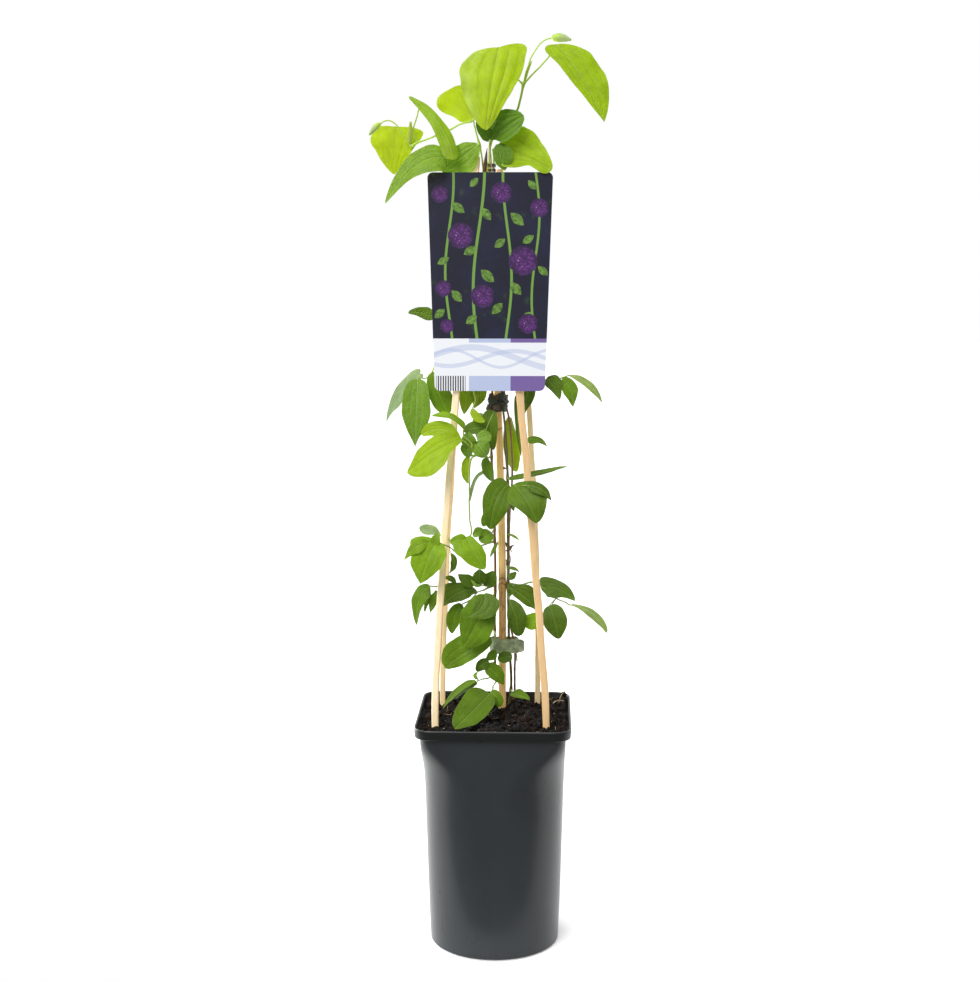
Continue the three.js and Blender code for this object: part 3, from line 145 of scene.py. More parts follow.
class Skin:
    """Collects grids of points in millimetres, with their faces, UVs and materials, into one mesh."""

    def __init__(self):
        self.points, self.half, self.count = [], [], 0
        self.faces = {sides: [(np.zeros((0, sides), int), np.zeros((0, sides, 2)), np.zeros(0, int))]
                      for sides in (4, 3)}

    def add(self, points, half=0.0):
        """Adds points, and gives the number of the first one."""
        points = points.reshape(-1, 3)
        self.points.append(points)
        self.half.append(np.broadcast_to(half, len(points)))
        self.count += len(points)
        return self.count - len(points)

    def join(self, index, uv, mat):
        """Adds faces of three or four sides: their corners' numbers and UVs, and their materials."""
        index = index.reshape(-1, index.shape[-1])
        uv = uv.reshape(*index.shape, 2) if np.ndim(uv) else np.full((*index.shape, 2), uv)
        self.faces[index.shape[1]].append((index, uv, np.broadcast_to(mat, len(index))))

    def grid(self, points, mat=0, wrap=False, closed=False, u=None, v=None, half=0.0, caps="",
             columns=None):
        """Faces between neighbouring points of a (rows, columns) grid; wrap joins the last column
        to the first, closed the last row to the first. caps, "a" and or "b", close the first and
        last row of a wrapped grid with a fan. columns gives each column of faces its material, in
        place of mat."""
        rows, cols = points.shape[:2]
        first = self.add(points, np.broadcast_to(half, (rows, cols)).ravel())
        index = first + np.arange(rows * cols).reshape(rows, cols)
        index = np.hstack([index, index[:, :1]]) if wrap else index
        index = np.vstack([index, index[:1]]) if closed else index
        rows, wide = index.shape
        u = np.linspace(0, 1, wide) if u is None else u
        v = np.linspace(0, 1, rows) if v is None else v
        uv = np.stack(np.broadcast_arrays(u, np.asarray(v)[:, None]), -1)
        kind = mat if columns is None else np.broadcast_to(columns, (rows - 1, wide - 1)).ravel()
        self.join(corners(index), corners(uv), kind)
        for row, way in [{"a": (0, 1), "b": (-1, -1)}[end] for end in caps]:
            ring, uvs = index[row][::way], uv[row][::way]
            centre = np.full(wide - 1, self.add(points[row].mean(0)))
            middle = np.broadcast_to(uvs.mean(0), (wide - 1, 2))
            self.join(np.stack([ring[1:], ring[:-1], centre], -1),
                      np.stack([uvs[1:], uvs[:-1], middle], 1), np.max(kind))

    def tube(self, path, radius, sides, mat=0, shape=None, twist=0.0):
        """A round or shaped section carried along a path: centre plus radius times section.
        shape(angle, row) scales the radius around the section."""
        path = np.asarray(path, float)
        rows = len(path)
        along = unit(np.gradient(path, axis=0))
        axis = np.eye(3)[int(np.argmin(np.abs(along).max(0)))]
        across = unit(np.cross(along, axis))
        other = np.cross(along, across)
        angle = turns(sides) + twist * np.linspace(0, 1, rows)[:, None]
        reach = np.broadcast_to(np.asarray(radius, float).reshape(-1, 1), (rows, sides))
        if shape is not None:
            reach = reach * shape(angle, np.linspace(0, 1, rows)[:, None])
        points = (path[:, None] + reach[..., None] * (np.cos(angle)[..., None] * across[:, None]
                                                      + np.sin(angle)[..., None] * other[:, None]))
        self.grid(points, mat, wrap=True, caps="ab")

    def blobs(self, centres, sizes, seed, mat=0, stretch=0.35):
        """Small lumps: for each centre a ball of five rings of six points, roughened, each axis stretched
        at random, turned by the matrix of a random unit quaternion."""
        rng = np.random.default_rng(seed)
        ball = sphere(np.linspace(-1.35, 1.35, 5), turns(6))
        many = len(centres)
        scale = sizes[:, None] * rng.uniform(1 - stretch, 1 + stretch, (many, 3))
        w, x, y, z = unit(rng.normal(size=(many, 4))).T
        turn = np.stack([1 - 2 * (y * y + z * z), 2 * (x * y - z * w), 2 * (x * z + y * w),
                         2 * (x * y + z * w), 1 - 2 * (x * x + z * z), 2 * (y * z - x * w),
                         2 * (x * z - y * w), 2 * (y * z + x * w), 1 - 2 * (x * x + y * y)], -1)
        turn = turn.reshape(-1, 3, 3)
        rough = 1 + 0.22 * rng.normal(size=(many, 5, 6, 1)).clip(-1.5, 1.5)
        local = ball[None] * rough * scale[:, None, None]
        placed = np.einsum("nij,nabj->nabi", turn, local) + centres[:, None, None]
        base = np.arange(30).reshape(5, 6)
        ring = np.hstack([base, base[:, :1]])
        quads = corners(ring).reshape(-1, 4)
        fan = np.stack([ring[0, 1:], ring[0, :-1], np.full(6, 30)], -1)
        lid = np.stack([ring[-1, :-1], ring[-1, 1:], np.full(6, 31)], -1)
        tris = np.vstack([fan, lid])
        poles = np.stack([placed[:, 0].mean(1), placed[:, -1].mean(1)], 1)
        every = np.concatenate([placed.reshape(many, 30, 3), poles], 1)
        shift = self.add(every) + 32 * np.arange(many)[:, None, None]
        self.join(quads + shift, 0.0, mat)
        self.join(tris + shift, 0.0, mat)

    def piece(self, name, materials, smooth=50.0):
        """The mesh object, with smooth faces but for edges sharper than smooth degrees."""
        mesh = bpy.data.meshes.new(name)
        points = np.vstack(self.points) * MM
        (quads, quad_uv, quad_mat), (tris, tri_uv, tri_mat) = (
            [np.concatenate(part) for part in zip(*self.faces[sides])] for sides in (4, 3))
        mesh.vertices.add(len(points))
        mesh.vertices.foreach_set("co", points.ravel())
        loops = np.concatenate([quads.ravel(), tris.ravel()])
        starts = np.concatenate([4 * np.arange(len(quads)), 4 * len(quads) + 3 * np.arange(len(tris))])
        mesh.loops.add(len(loops))
        mesh.loops.foreach_set("vertex_index", loops)
        mesh.polygons.add(len(starts))
        mesh.polygons.foreach_set("loop_start", starts)
        mesh.polygons.foreach_set("material_index", np.concatenate([quad_mat, tri_mat]))
        mesh.update(calc_edges=True)
        uv = np.concatenate([quad_uv.ravel(), tri_uv.ravel()])
        mesh.uv_layers.new(name="Skin").uv.foreach_set("vector", uv)
        mesh.attributes.new("half", "FLOAT", "POINT").data.foreach_set("value", np.concatenate(self.half))
        mesh.validate()
        mesh.shade_smooth()
        mesh.set_sharp_from_angle(angle=math.radians(smooth))
        for material in materials:
            mesh.materials.append(material)
        made = bpy.data.objects.new(name, mesh)
        bpy.context.scene.collection.objects.link(made)
        return made


def stand_in(made, node):
    """Ties a finished piece to the one body, and hides the packed node that it stands for."""
    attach(made, ROOT)
    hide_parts(node)


# ---------- shaders ----------
def maths(operation, swapped=False):
    """A method that adds one Math node. swapped is for a reflected operator, whose value comes last."""
    def method(self, *others):
        values = [*others, self] if swapped else [self, *others]
        return self.shader.node("ShaderNodeMath", {"operation": operation}, values)
    return method


class Value:
    """A shader value that does sums: each operator adds one Math node."""

    def __init__(self, shader, socket):
        self.shader, self.socket = shader, socket

    __add__ = __radd__ = maths("ADD")
    __mul__ = __rmul__ = maths("MULTIPLY")
    __sub__, __rsub__ = maths("SUBTRACT"), maths("SUBTRACT", swapped=True)
    __truediv__, __rtruediv__ = maths("DIVIDE"), maths("DIVIDE", swapped=True)
    __gt__, __lt__ = maths("GREATER_THAN"), maths("LESS_THAN")
    __abs__, wave, least, most = maths("ABSOLUTE"), maths("SINE"), maths("MINIMUM"), maths("MAXIMUM")

    def fade(self, low, high, at_low=0.0, at_high=1.0):
        """Eased from at_low to at_high as the value goes from low to high."""
        return self.shader.node("ShaderNodeMapRange", {"interpolation_type": "SMOOTHSTEP"},
                                {"Value": self, "From Min": low, "From Max": high,
                                 "To Min": at_low, "To Max": at_high})

    def past(self, level):
        """0 before a level and 1 past it, with a soft edge."""
        return self.fade(level - 0.1, level + 0.1)

    def drop(self, low, high):
        """Eased from 1 to 0 as the value goes from low to high."""
        return self.fade(low, high, 1.0, 0.0)


class Shader:
    """A material or a world, and the one method that makes its nodes."""

    def __init__(self, name, kind=bpy.data.materials):
        self.owner = kind.new(name)
        self.owner.use_nodes = True
        self.tree = self.owner.node_tree
        self.tree.nodes.clear()

    def node(self, kind, settings=None, inputs=(), output=0):
        """A node of a kind: settings first, then its sockets' values or links, by name or in order."""
        made = self.tree.nodes.new(kind)
        for key, value in (settings or {}).items():
            setattr(made, key, value)
        for key, value in inputs.items() if isinstance(inputs, dict) else enumerate(inputs):
            socket = made.inputs[key]
            if isinstance(value, Value):
                self.tree.links.new(value.socket, socket)
            elif socket.type == "RGBA":
                socket.default_value = (*value, 1) if len(value) == 3 else value
            else:
                socket.default_value = value
        return Value(self, made.outputs[output]) if made.outputs else None

    def scaled(self, where, scale, turn=(0, 0, 0)):
        return self.node("ShaderNodeMapping", {}, {"Vector": where, "Scale": scale, "Rotation": turn})

    def place(self, scale=(1000, 1000, 1000), turn=(0, 0, 0)):
        """Object coordinates, in millimetres unless another scale stretches them."""
        return self.scaled(self.node("ShaderNodeTexCoord", output="Object"), scale, turn)

    def own(self, scale=(1, 1, 1)):
        """The piece's own UVs."""
        return self.scaled(self.node("ShaderNodeUVMap", {"uv_map": "Skin"}), scale)

    def local(self, where, middle, size, turn=0.0):
        """Coordinates about a middle, of the given size and turned in the plane."""
        return self.node("ShaderNodeMapping", {"vector_type": "TEXTURE"}, {
            "Vector": where, "Location": middle, "Rotation": (0, 0, turn), "Scale": size})

    def height(self):
        """Metres above the floor."""
        return self.axes(self.place((1, 1, 1)))[2]

    def axes(self, vector):
        """The three parts of a vector."""
        made = self.node("ShaderNodeSeparateXYZ", {}, [vector]).socket.node
        return [Value(self, s) for s in made.outputs]

    def noise(self, where, scale, detail, rough=0.55, warp=0.0):
        """Noise at a vector, or at object coordinates with the scale given in its place."""
        where = where if isinstance(where, Value) else self.place(where)
        return self.node("ShaderNodeTexNoise", {}, {"Vector": where, "Scale": scale, "Detail": detail,
                                                    "Roughness": rough, "Distortion": warp}, "Fac")

    def cells(self, where, scale, feature="F1"):
        """Distance to the nearest point of a scatter, or to the edge between two of its cells."""
        return self.node("ShaderNodeTexVoronoi", {"feature": feature}, {"Vector": where, "Scale": scale},
                         "Distance")

    def blend(self, factor, first, second):
        """Mix of two colours."""
        return self.node("ShaderNodeMix", {"data_type": "RGBA"}, {0: factor, 6: first, 7: second}, 2)

    def layers(self, colour, *coats):
        """Coats over a colour, each its mask and its colour."""
        for mask, coat in coats:
            colour = self.blend(mask, colour, coat)
        return colour

    def drift(self, mask, colour, low, high):
        """A colour that drifts between two strengths of it."""
        return self.blend(mask, tinted(colour, low), tinted(colour, high))

    def bump(self, height, strength, distance):
        return self.node("ShaderNodeBump", {}, {"Height": height, "Strength": strength,
                                                "Distance": distance})

    def finish(self, colour, roughness, normal=None, thin=None, through=0.0, **sockets):
        """Principled surface, with a share of light passing through where thin is its colour."""
        inputs = {"Base Color": colour, "Roughness": roughness}
        if normal is not None:
            inputs["Normal"] = normal
        inputs.update({key.replace("_", " "): value for key, value in sockets.items()})
        surface = self.node("ShaderNodeBsdfPrincipled", {}, inputs)
        if thin is not None:
            lit = self.node("ShaderNodeBsdfTranslucent", {}, {"Color": thin})
            surface = self.node("ShaderNodeMixShader", {}, [through, surface, lit])
        self.node("ShaderNodeOutputMaterial", {}, {"Surface": surface})
        return self.owner


def linear(red, green, blue):
    """Scene-linear colour of an 0-255 display colour."""
    c = np.array([red, green, blue]) / 255.0
    return tuple(float(x) for x in np.where(c <= 0.04045, c / 12.92, ((c + 0.055) / 1.055) ** 2.4))


def tinted(colour, factor):
    return tuple(min(float(c) * factor, 1.0) for c in colour)


# ---------- leaf table ----------
# Each leaf has a line with its name and its stem. A line that starts with - is a stalk, as points.
# Any other line is a leaflet: its tone, the base, middle and tip of its midrib, the way it faces
# (FACING where it's empty), five half widths on the right and on the left (as on the right where it's
# empty), lobe, one for both sides or one for each, and fold in degrees.
FACING = [0.0, -1.0, 0.25]
LEAF_TABLE = """
leaf_crown_right stem_right
- 22.5 4 723, 34 0 733.5, 43.5 -4 743, 47 -5 748.5, 49.5 -4 753
lime 49.5 -5 753, 71 -12 724, 88.5 -14 690.8, 0.25 -0.9 0.3, 12.5 10.5 9.5 6.5 3, 14 18 18.8 15.6 8,
    0.16 -0.12, 8
leaf_crown_centre stem_right
- 22.5 4 723, 16 4 729, 10 0 740, 4.5 -8 747.5, 2 -12 749
bright 3.6 -14 749.5, -2.5 -22 717.5, -6.2 -24 683.8, -0.05 -1 0.15, 22 28 25 18.5 10.5,
    22.5 22.5 18 12 6.5, -0.04 0.3, -8
leaf_crown_behind shoot_left
- -17 2 692.5, -17 4 694.5, -18 6 695.5
thin -18 7 695.5, -26.5 12 709, -33 14 722.5, -0.1 -1 0.1, 5 9 11.5 11.5 7.5, 9.5 12.5 17.5 20.5 17.5,
    0.05, 8
leaf_crown_folded shoot_left
- -68.5 -2 672.5, -66.5 -3 683.5, -64 -4 694, -61.5 -4 703.5
fresh -69.5 -4 712.5, -45.5 -11 690.5, -33.2 -21 660.5, 0.35 -0.85 0.4, 3.2 5 6 7.4 7.2, 3 5.2 6.4 7.4 7,
    0.02, -16
leaf_crown_far_left shoot_left
- -68.5 -1 673, -72 8 679, -77 11 686, -81 9 689, -85 6 688
thin -81.5 5 689.5, -82 1 669.5, -82.5 0 650.5, -0.15 -0.9 0.35, 21.5 21.5 17 11.5 6, 22.5 19.5 14.5 9 4.5,
    0.12 0.02, -8
leaf_crown_left_dark stem_left
- -12 -2 669.5, -23.5 2 670, -32 3 672.5, -38.5 -5 672, -41 -11 667
satin -38.5 -14 662, -62 -19 657, -88 -20 626.5, -0.2 -0.9 0.5, 9 12.5 12 8 4.5, 14 14 11 6.5 3, 0.06, 6
lime -42 -12.6 654.6, -48 -13.2 654.6, -56 -13.7 654.2, , 2.5 3.5 3.5 3 1.5, 2.5 2.5 2.5 1.5 1, 0, 6
leaf_crown_mid_dark stem_left
- -12 -1 672, -13 -7 675
satin -13.5 -8.6 674, -27 -5.6 663.5, -43.5 -1.6 653, -0.1 -1 0.25, 5 9.5 11 12 10, 7 13 15.5 14.5 7.5,
    0.06, 6
leaf_crown_curled stem_right
- -4 -2 673, -3.5 -6 676.5
glossy -3.5 -7 678, 8.5 -14 687, 23.8 -16 695.8, -0.2 -0.95 0.3, 3.5 10 12.5 11.5 7, 6.5 11.5 14.5 12.5 8,
    0.04, 10
glossy -4.5 -8 676.5, -10 -12 684, -14.5 -14 692, 0.3 -0.9 0.3, 5 7.5 7.5 6 3, 3 5 5 4 2, 0.04, 20
leaf_crown_right_lime stem_third
- -1 -6 669, 1.8 -6.4 671.4
lime 2.8 -6.6 672.4, 22.5 -10 665, 46.5 -14 653, 0 -0.95 0.4, 11 16 13 5.6 6.8, 10.5 22 22 16 9, 0.06, 6
glossy 2.8 -10.5 674, 5 -14 663.5, 8.5 -13.5 652.6, -0.2 -1 0.2, 3.5 5.5 5.5 5 2.5, 6 9.5 10.5 9 4.5, 0.04,
    6
leaf_upper_left_tip stem_left
- -37 -4 524, -43.5 -4 529.5, -50 -4 534
dark -50 -4 534.5, -60.5 -6 538, -71 -8 538, , 4 6 5 4 2.5, 4 5 4 2.5 1.5, 0.05, 8
leaf_upper_right stem_left
- 21 -4 478, 32.5 -5 480.5, 42.5 -6 482, 52.5 -6 484, 61.5 -6 487
dark 42.5 -7 484, 49 -9 477.5, 54 -10 467, , 4 5 4 3 1.5, 5 8.5 8.5 5 2.5, 0.06, 8
mid 56.5 -6 484.5, 63 -8 474, 65 -8 461, , 4 6.5 6.5 4.5 2.5, 4 6 6.5 4 1.5, 0.06, 8
pale 61.5 -5 487, 76.5 -8 480, 89 -8 464.5, 0.3 -0.8 0.5, 2 4 4.5 3.5 1.5, 1.5 3 3.5 3.5 2, 0.05, 20
leaf_upper_behind_cane stem_left
- 14 4 489, 20 3 492.5, 26 2 489
dark 26 2 488.5, 27 0 472, 24.5 2 453.5, , 6 10 10 6 2.5, 5 7.5 7 5 1.5, 0.06, 8
dark 17.5 4 469, 19.5 4 442, 22 4 418, 0.4 -1 0, 2 2.5 2.5 2 1, 2 2 2 2 1, 0.02, 6
leaf_upper_left_compound stem_left
- -35 -8 506, -45 -8 501, -49 -8 496, -51 -8 490.5, -56.5 -9 484.5, -62.5 -10 485.5
grey -61.5 -8 488.5, -76.5 -10 474, -89.5 -12 448.5, -0.5 -0.8 0.3, 5.5 6.5 6.5 5.5 3, 5.5 6.5 6.5 6.5 2,
    0.14, 6
round -63 -14 483.5, -64 -20 456.5, -65 -18 428.5, 0 -1 0.1, 9 12 12 8.5 3.5, 8.5 11 12 9 2.5, 0.06, 8
mid -51 -8 489.5, -46.5 -9 473, -38 -6 454.5, , 5 7.5 8.5 8.5 6, 5 8.5 10 10 6, 0.05, 8
leaf_side_shoot stem_right
- -1 6 413, -5.5 -6 418, -10.5 -18 422.5, -18 -26 428.5, -22.5 -29 433, -26 -30 435.5
- -18 -26 428.5, -18 -24 431.5, -24.5 -26 438.5, -25 -27 441.5, -24 -28 446
- -5.5 -6 418, -7 -10 421, -10 -14 424, -15 -18 431
- -10 -14 424, -11.5 -18 421, -16.5 -17 421.5, -21 -16 420.5
- -5.5 -6 418, -8 -8 416, -3 -4 407.5, -8 -8 406.5
- -10.5 -18 422.5, -18 -22 420, -20 -24 408.5, -20 -28 385.5, -19.5 -31 369.5, -18 -32 358, -21.5 -33 355
lime -26 -31 435.5, -46.5 -38 427, -70.5 -34 408.5, -0.1 -0.95 0.4, 9.5 12 11.5 10 4.5, 3.5 7 14 16.5 10.5,
    0.06, 8
lime -28 -30 438.5, -45 -27 444, -59.5 -25 439, 0 -1 0.3, 3.5 6.5 7 6.5 4, 3.5 6.5 6.5 5 3.5, 0.04, 8
light -24 -28 446, -35.5 -31 455, -50.5 -28 455, -0.2 -0.5 0.9, 4 4 4 4 2.5, , 0.06, 8
round -15.5 -19 432.5, -10.5 -23 428, -6 -20 421, 0.2 -1 0.3, 5 7.5 8 7 4.5, 4.5 7 8 7 4.5, 0.05, 10
round -17.5 -18 427.5, -20.5 -21 434, -20.5 -20 441, -0.2 -1 0.3, 4 6 6.5 5.5 3.5, , 0.05, 14
round -18 -18 431, -22 -20 427, -20 -18 420, -0.4 -1 0.1, 4 5 6 5 3.5, 3.5 4.5 5.5 5 3.5, 0.05, 10
round -13.5 -17 434, -8 -19.5 437, -2 -17 438, 0.1 -0.9 0.5, 4 5.5 6 5.5 3.5, , 0.05, 10
lime -21 -16 420.5, -23.5 -18 409.5, -21 -16 397.5, -0.4 -1 0.1, 2.5 3.8 3.8 3.5 2.2, 2.4 3 3 2.8 1.2,
    0.03, 12
mid -8 -8 418.5, -5 -11 408.5, -3 -6 398.5, -0.3 -1 0.1, 3.5 5 5 4.5 2.5, 3 4.5 5 4.5 2.5, 0.04, 16
grey -8 -9 406.5, -16 -14 400.5, -20 -12 382.5, , 1.5 1.5 1.5 1.5 1, , 0.02, 12
light -22.5 -34 356, -15.5 -40 344.5, -6.5 -38 330, 0.1 -0.95 0.3, 12.5 14 11.5 9 5, 5 6.5 8 7.5 4, 0.1, 6
light -22.5 -35 352.5, -29 -37 354, -35 -37 350.5, 0.1 -0.95 0.3, 3.5 5 4 3.5 2.5, 3.5 5 5 4 2.5, 0.04, 6
leaf_upper_hanging stem_right
- -5.5 -2 492, -12 -3 494, -19.5 -1 486
- -19.5 -1 486, -17 -10 474, -15.5 -14 466, -17.6 -15.5 460.6
olive -19.5 -2 484.5, -23 -4 469.5, -25.5 -3 454, , 4 6.5 6.5 5 2.5, 5 7.5 7.5 5 2.5, 0.06, 6
olive -12 -4 480, -13.5 -5 470, -17 -3 459, , 4 6 6.5 5 2, 4.5 6.5 6.5 5 2, 0.05, 6
lime -18 -15.5 460, -14 -18 453.5, -7.5 -18 449.5, , 2.5 3.8 4 3.5 2, 2 3 3.2 3 1.8, 0.04, 15
leaf_upper_dark_clump stem_right
- 2 -1 432.5, -1.5 -6 436.5, -7 -12 442
dark -0.5 -8 457.5, -3 -10 442, -0.5 -8 425, , 7 8.5 8.5 7 4, 4 5.5 6 5 3, 0.05, 8
dark -8.5 -12 443.5, -16.5 -15 444, -26 -14 441.5, 0 -0.9 0.4, 3 4.5 5.5 5 3, , 0.05, 8
leaf_middle_pale_back stem_third
- 12.5 4 449, 13 12 450
- 13 12 450, 19 11 434, 26 9 432
lime 10.5 13.5 450, 13.5 16 426, 18 15 404, , 3 5.5 7 7 4.5, 3.5 5.5 6.5 6 3.5, 0.03, 8
mid 26 9 432, 36 8 432, 43.5 7 426.5, , 3.5 4.5 3 2 1, 1.5 2.5 2.5 2 1, 0.03, 8
leaf_middle_long_right stem_left
- 7.5 2 397, 11.5 0 399.5
dark 12 -1 400, 33.5 -4 404.5, 60.5 -6 411.5, 0 -0.5 0.85, 3 3.5 3.5 3 1.5, 3.5 4 4 3.5 2, 0.03, 8
leaf_middle_dark_left stem_left
- 9.5 2 392, 11 -4 395
- 11 -4 395, 12 -6 392, 15.5 -16 396.5
grown 11.5 -6 396, 1.5 -16 383, -3 -14 359, , 9.5 12 11.5 9 5.5, 6.5 9.5 12 11 6.5, 0.06, 8
mid 1.5 -8 379.5, -6 -9 370.5, -9 -6 360, , 2.5 3.5 3.5 3.5 2.5, , 0.03, 6
grown 16.5 -23 398, 28 -36 385, 36 -36 368, 0.1 -1 0.2, 9 13.5 10 7 4, 8.5 16.5 18 13.5 7.5, 0.06, 7
dark 27.5 -33 398.5, 38.5 -37 396.5, 47.5 -36 386.5, 0.1 -1 0.2, 3.5 5 5 3.5 1.5, 3.5 4 4 3.5 1.5, 0.04, 7
dark 16 -20 394, 15 -24 386, 16.5 -24 376, -0.1 -1 0.1, 2.5 3.5 3.5 2.5 1.5, , 0.03, 7
leaf_middle_clump stem_right
- 0.5 -2 355, -2 -6 355
mid -2 -7 355, -7 -12 353, -12.5 -12 349, -0.1 -0.9 0.4, 4.5 6.5 6.5 5.5 3.5, 4 6 6.5 6 4, 0.04, 10
mid -9.5 -11 356.5, -13.5 -13 356.5, -17.5 -12 352.5, -0.3 -0.9 0.4, 3 4 4.5 3.5 2.5, , 0.04, 10
leaf_lower_left_light stem_right
- -23.5 -14 333, -30.5 -22 341, -36 -32 347, -41 -38 350, -46 -40 351.5
- -30.5 -22 341, -38.5 -11 351, -46 -12 354.5
light -46 -41 353.5, -53 -47 339, -59.5 -44 318.5, -0.1 -0.95 0.3, 13.5 19.5 14.5 12.5 6, 9.5 13 13 10 5,
    0.1, 6
light -52.5 -43 352, -62.5 -46 349.5, -72.5 -44 338, -0.1 -0.95 0.3, 3.5 5 5 3.5 1.5, 3.5 5 6 4 1.5, 0.04, 6
light -49 -42 349, -46.5 -43 355.5, -43.5 -41 361.5, -0.1 -0.95 0.3, 3.5 4 4 2.5 1, , 0.03, 6
grey -46 -12 354.5, -54.5 -14 359, -62 -14 357.5, , 2.5 4 4 4 3.5, 2.5 4 5 5 3.5, 0.04, 8
dark -36.5 -10 338, -33.5 -11 330, -38 -10 320.5, 0.3 -1 0.1, 1.5 2.5 3.5 2.5 1, 1.5 2.5 2.5 2.5 1, 0.03, 8
leaf_lower_left_droop stem_right
- -1 14 311, -14 10 311, -28.5 0 309.5, -41 -9 310, -48.5 -16 311, -53.5 -19.5 312
mid -53.5 -20 312, -62.5 -23 300.5, -64.5 -22 279, -0.3 -0.9 0.3, 4.5 6.5 6.5 4.5 2.5, 4.5 8 6.5 4 2, 0.05,
    8
mid -53.5 -19 309, -56 -20 299, -58 -20 290, , 1.5 2.5 2.5 1.5 1, , 0.03, 8
mid -48.5 -18 308, -51 -19 298, -53.5 -18 288.5, , 1.5 3.5 3.5 2.5 1, 2.5 4 3.5 2.5 1, 0.03, 8
leaf_lower_left_dark stem_right
- -4 2 306.5, -9 -6 306, -14.5 -10 305
- -9 -6 306, -5.5 -6 308.5, -10 -14 312
- -14.5 -10 305, -20.5 -4 297, -27.5 -5 293.5
dark -14.5 -11 305.5, -28.5 -17 306.5, -44.5 -14 293, 0 -0.9 0.4, 2.5 6 8.5 12 8.5, 3.5 7 8 6 2.5, 0.05, 7
dark -32 -15 313.5, -37 -16 318, -43 -15 317, , 1.5 2.5 2.5 1.5 1, , 0.03, 7
dark -16 -17 314, -23 -20 317.5, -30 -18 322, , 3.5 5 5 3.5 1.5, 3.5 5 5 4 2, 0.04, 10
dark -11.5 -16 313, -12 -18 319.5, -12 -16 326, , 5 7 8 5.5 2.5, 4 6 6 5 2.5, 0.04, 10
dark -7 -13 311, -3.5 -15 317.5, 0 -12 323.5, , 4.5 6.5 6.5 5 3, 4.5 6 6 4.5 2.5, 0.04, 10
mid -27.5 -5 293.5, -34 -8 283, -36 -5 268, , 4 6 6.5 5.5 3, 4 6 6 5.5 3, 0.05, 8
leaf_lower_front stem_right
- 0 8 297, -2 -8 300, -4 -18 303.5
- -4 -18 303.5, -5.5 -25 307, -7 -30 307.6
dark -7 -31 308, -9.5 -37 298, -21 -37 289, 0 -1 0.35, 5 7.5 7 5 2, 8 13 12.5 8 2.5, 0.05, 6
mid -4 -20 304, -12 -30 286.5, -24.5 -27 262.5, 0.05 -0.97 0.25, 10 14 16 13.5 7.5, 8.5 11.5 14 15 10,
    0.05, 7
leaf_lower_broad stem_right
- 2.5 8 263.5, 0.5 -2 264, -2 -10 264
mid -2 -12 264.5, -22 -17 256, -41.5 -14 240.5, 0 -0.95 0.3, 7 12.5 14.5 15 11, 5 7.5 8.5 8 5, 0.06, 7
leaf_base_cluster stem_right
- 3.5 8 240.5, -0.5 -2 243, -4.5 -8 243.5
- -0.5 -2 243, -4 2 229, -10.5 -6 229, -14.5 -10 228.5
mid 2 -2 252, -3 -4 249, -7 -4 244.5, , 2.5 3.5 3.5 2.5 1.5, 2.5 4.5 4.5 3.5 1.5, 0.04, 8
dark -4.5 -8 244.5, -11 -11 242.5, -14 -9 236, , 3.5 4.5 4.5 3.5 2.5, 3.5 4.5 5 4.5 2.5, 0.05, 8
mid -7 -8 241, 0.5 -9 235.5, 8 -5 224, 0 -0.95 0.35, 4.5 6 6 5 2.5, 3.5 6 7 6 2.5, 0.05, 7
mid -15.5 -10 228.5, -29 -14 222.5, -43.5 -12 205, -0.3 -0.8 0.6, 2 3 3 3 2, 2 3 3 3 1, 0.04, 10
dark -14.5 -9 226.5, -23 -10 222.5, -33.5 -8 212, -0.3 -0.8 0.6, 2 3 3 2 1, , 0.03, 10
leaf_base_under_tie stem_left
- 12 12 238, 14 6 243, 14 2 246.5
dark 15 1 247.5, 8.5 -3 247.5, 2.5 -2 245, , 3 4.5 5 4.5 2.5, , 0.04, 8
leaf_base_front stem_right
- 5 14 220, -2 17 217, -1.5 2 219, -3 -10 218
grown -3.5 -14 218.5, -15 -36 211.5, -31 -53 199, 0 -0.9 0.5, 12 15.5 14.5 12 8.5, 7.5 10.5 11 10.5 5,
    0.06, 7
mid -3 -10 219, 2.5 -12 214.5, 5 -12 206.5, 0 -1 0.3, 3.5 5 5 5 3.5, 3.5 4.5 4.5 4.5 2.5, 0.05, 7
leaf_base_small_right stem_left
- 13.5 24 210, 15.5 18 210, 13.5 14 211
mid 13 14 211, 20 8 212, 30 6 208, 0 -0.8 0.6, 2 3 3 2 1, 2 4.5 5.5 4.5 3, 0.04, 8
leaf_right_near stem_left
- 9.5 8 305, 12 4 306
- 12 4 306, 11 6 297
dark 13 3 306, 25 1 299, 36 3 286.5, , 3.5 5 5 4.5 1.5, 4.5 8.5 11 10.5 5, 0.05, 8
dark 11 4 307, 13.5 3 304.5, 12 4 297.5, , 2.5 3.5 3.5 2.5 1, , 0.04, 8
dark 12 5 295.5, 18 -1 281, 20.5 3 264.5, 0.1 -1 0.2, 1.5 6 7.5 7 4.5, 5 8.5 9.5 7.5 5, 0.05, 7
leaf_right_compound stem_left
- 9.5 6 310.5, 21.5 8 308, 32.5 10 310, 42.5 9 304.5, 52 6 297, 60.5 2 294, 63.5 0 292.5
dark 39 11 305, 53.5 7 305, 68 3 295.5, 0.1 -0.9 0.4, 5.5 9.5 9.5 5.5 2.5, 9 8 7 6 3.5, 0.05, 7
dark 46 3 291, 50.5 -3 280, 54.5 -2 263.5, , 6 8.5 10 8.5 5, 7 10 11 9.5 5, 0.07, 7
light 41 6 280.5, 33.5 5 277.5, 24 8 274, , 3.5 6 7 7 4.5, 4.5 7 7 7 4.5, 0.05, 7
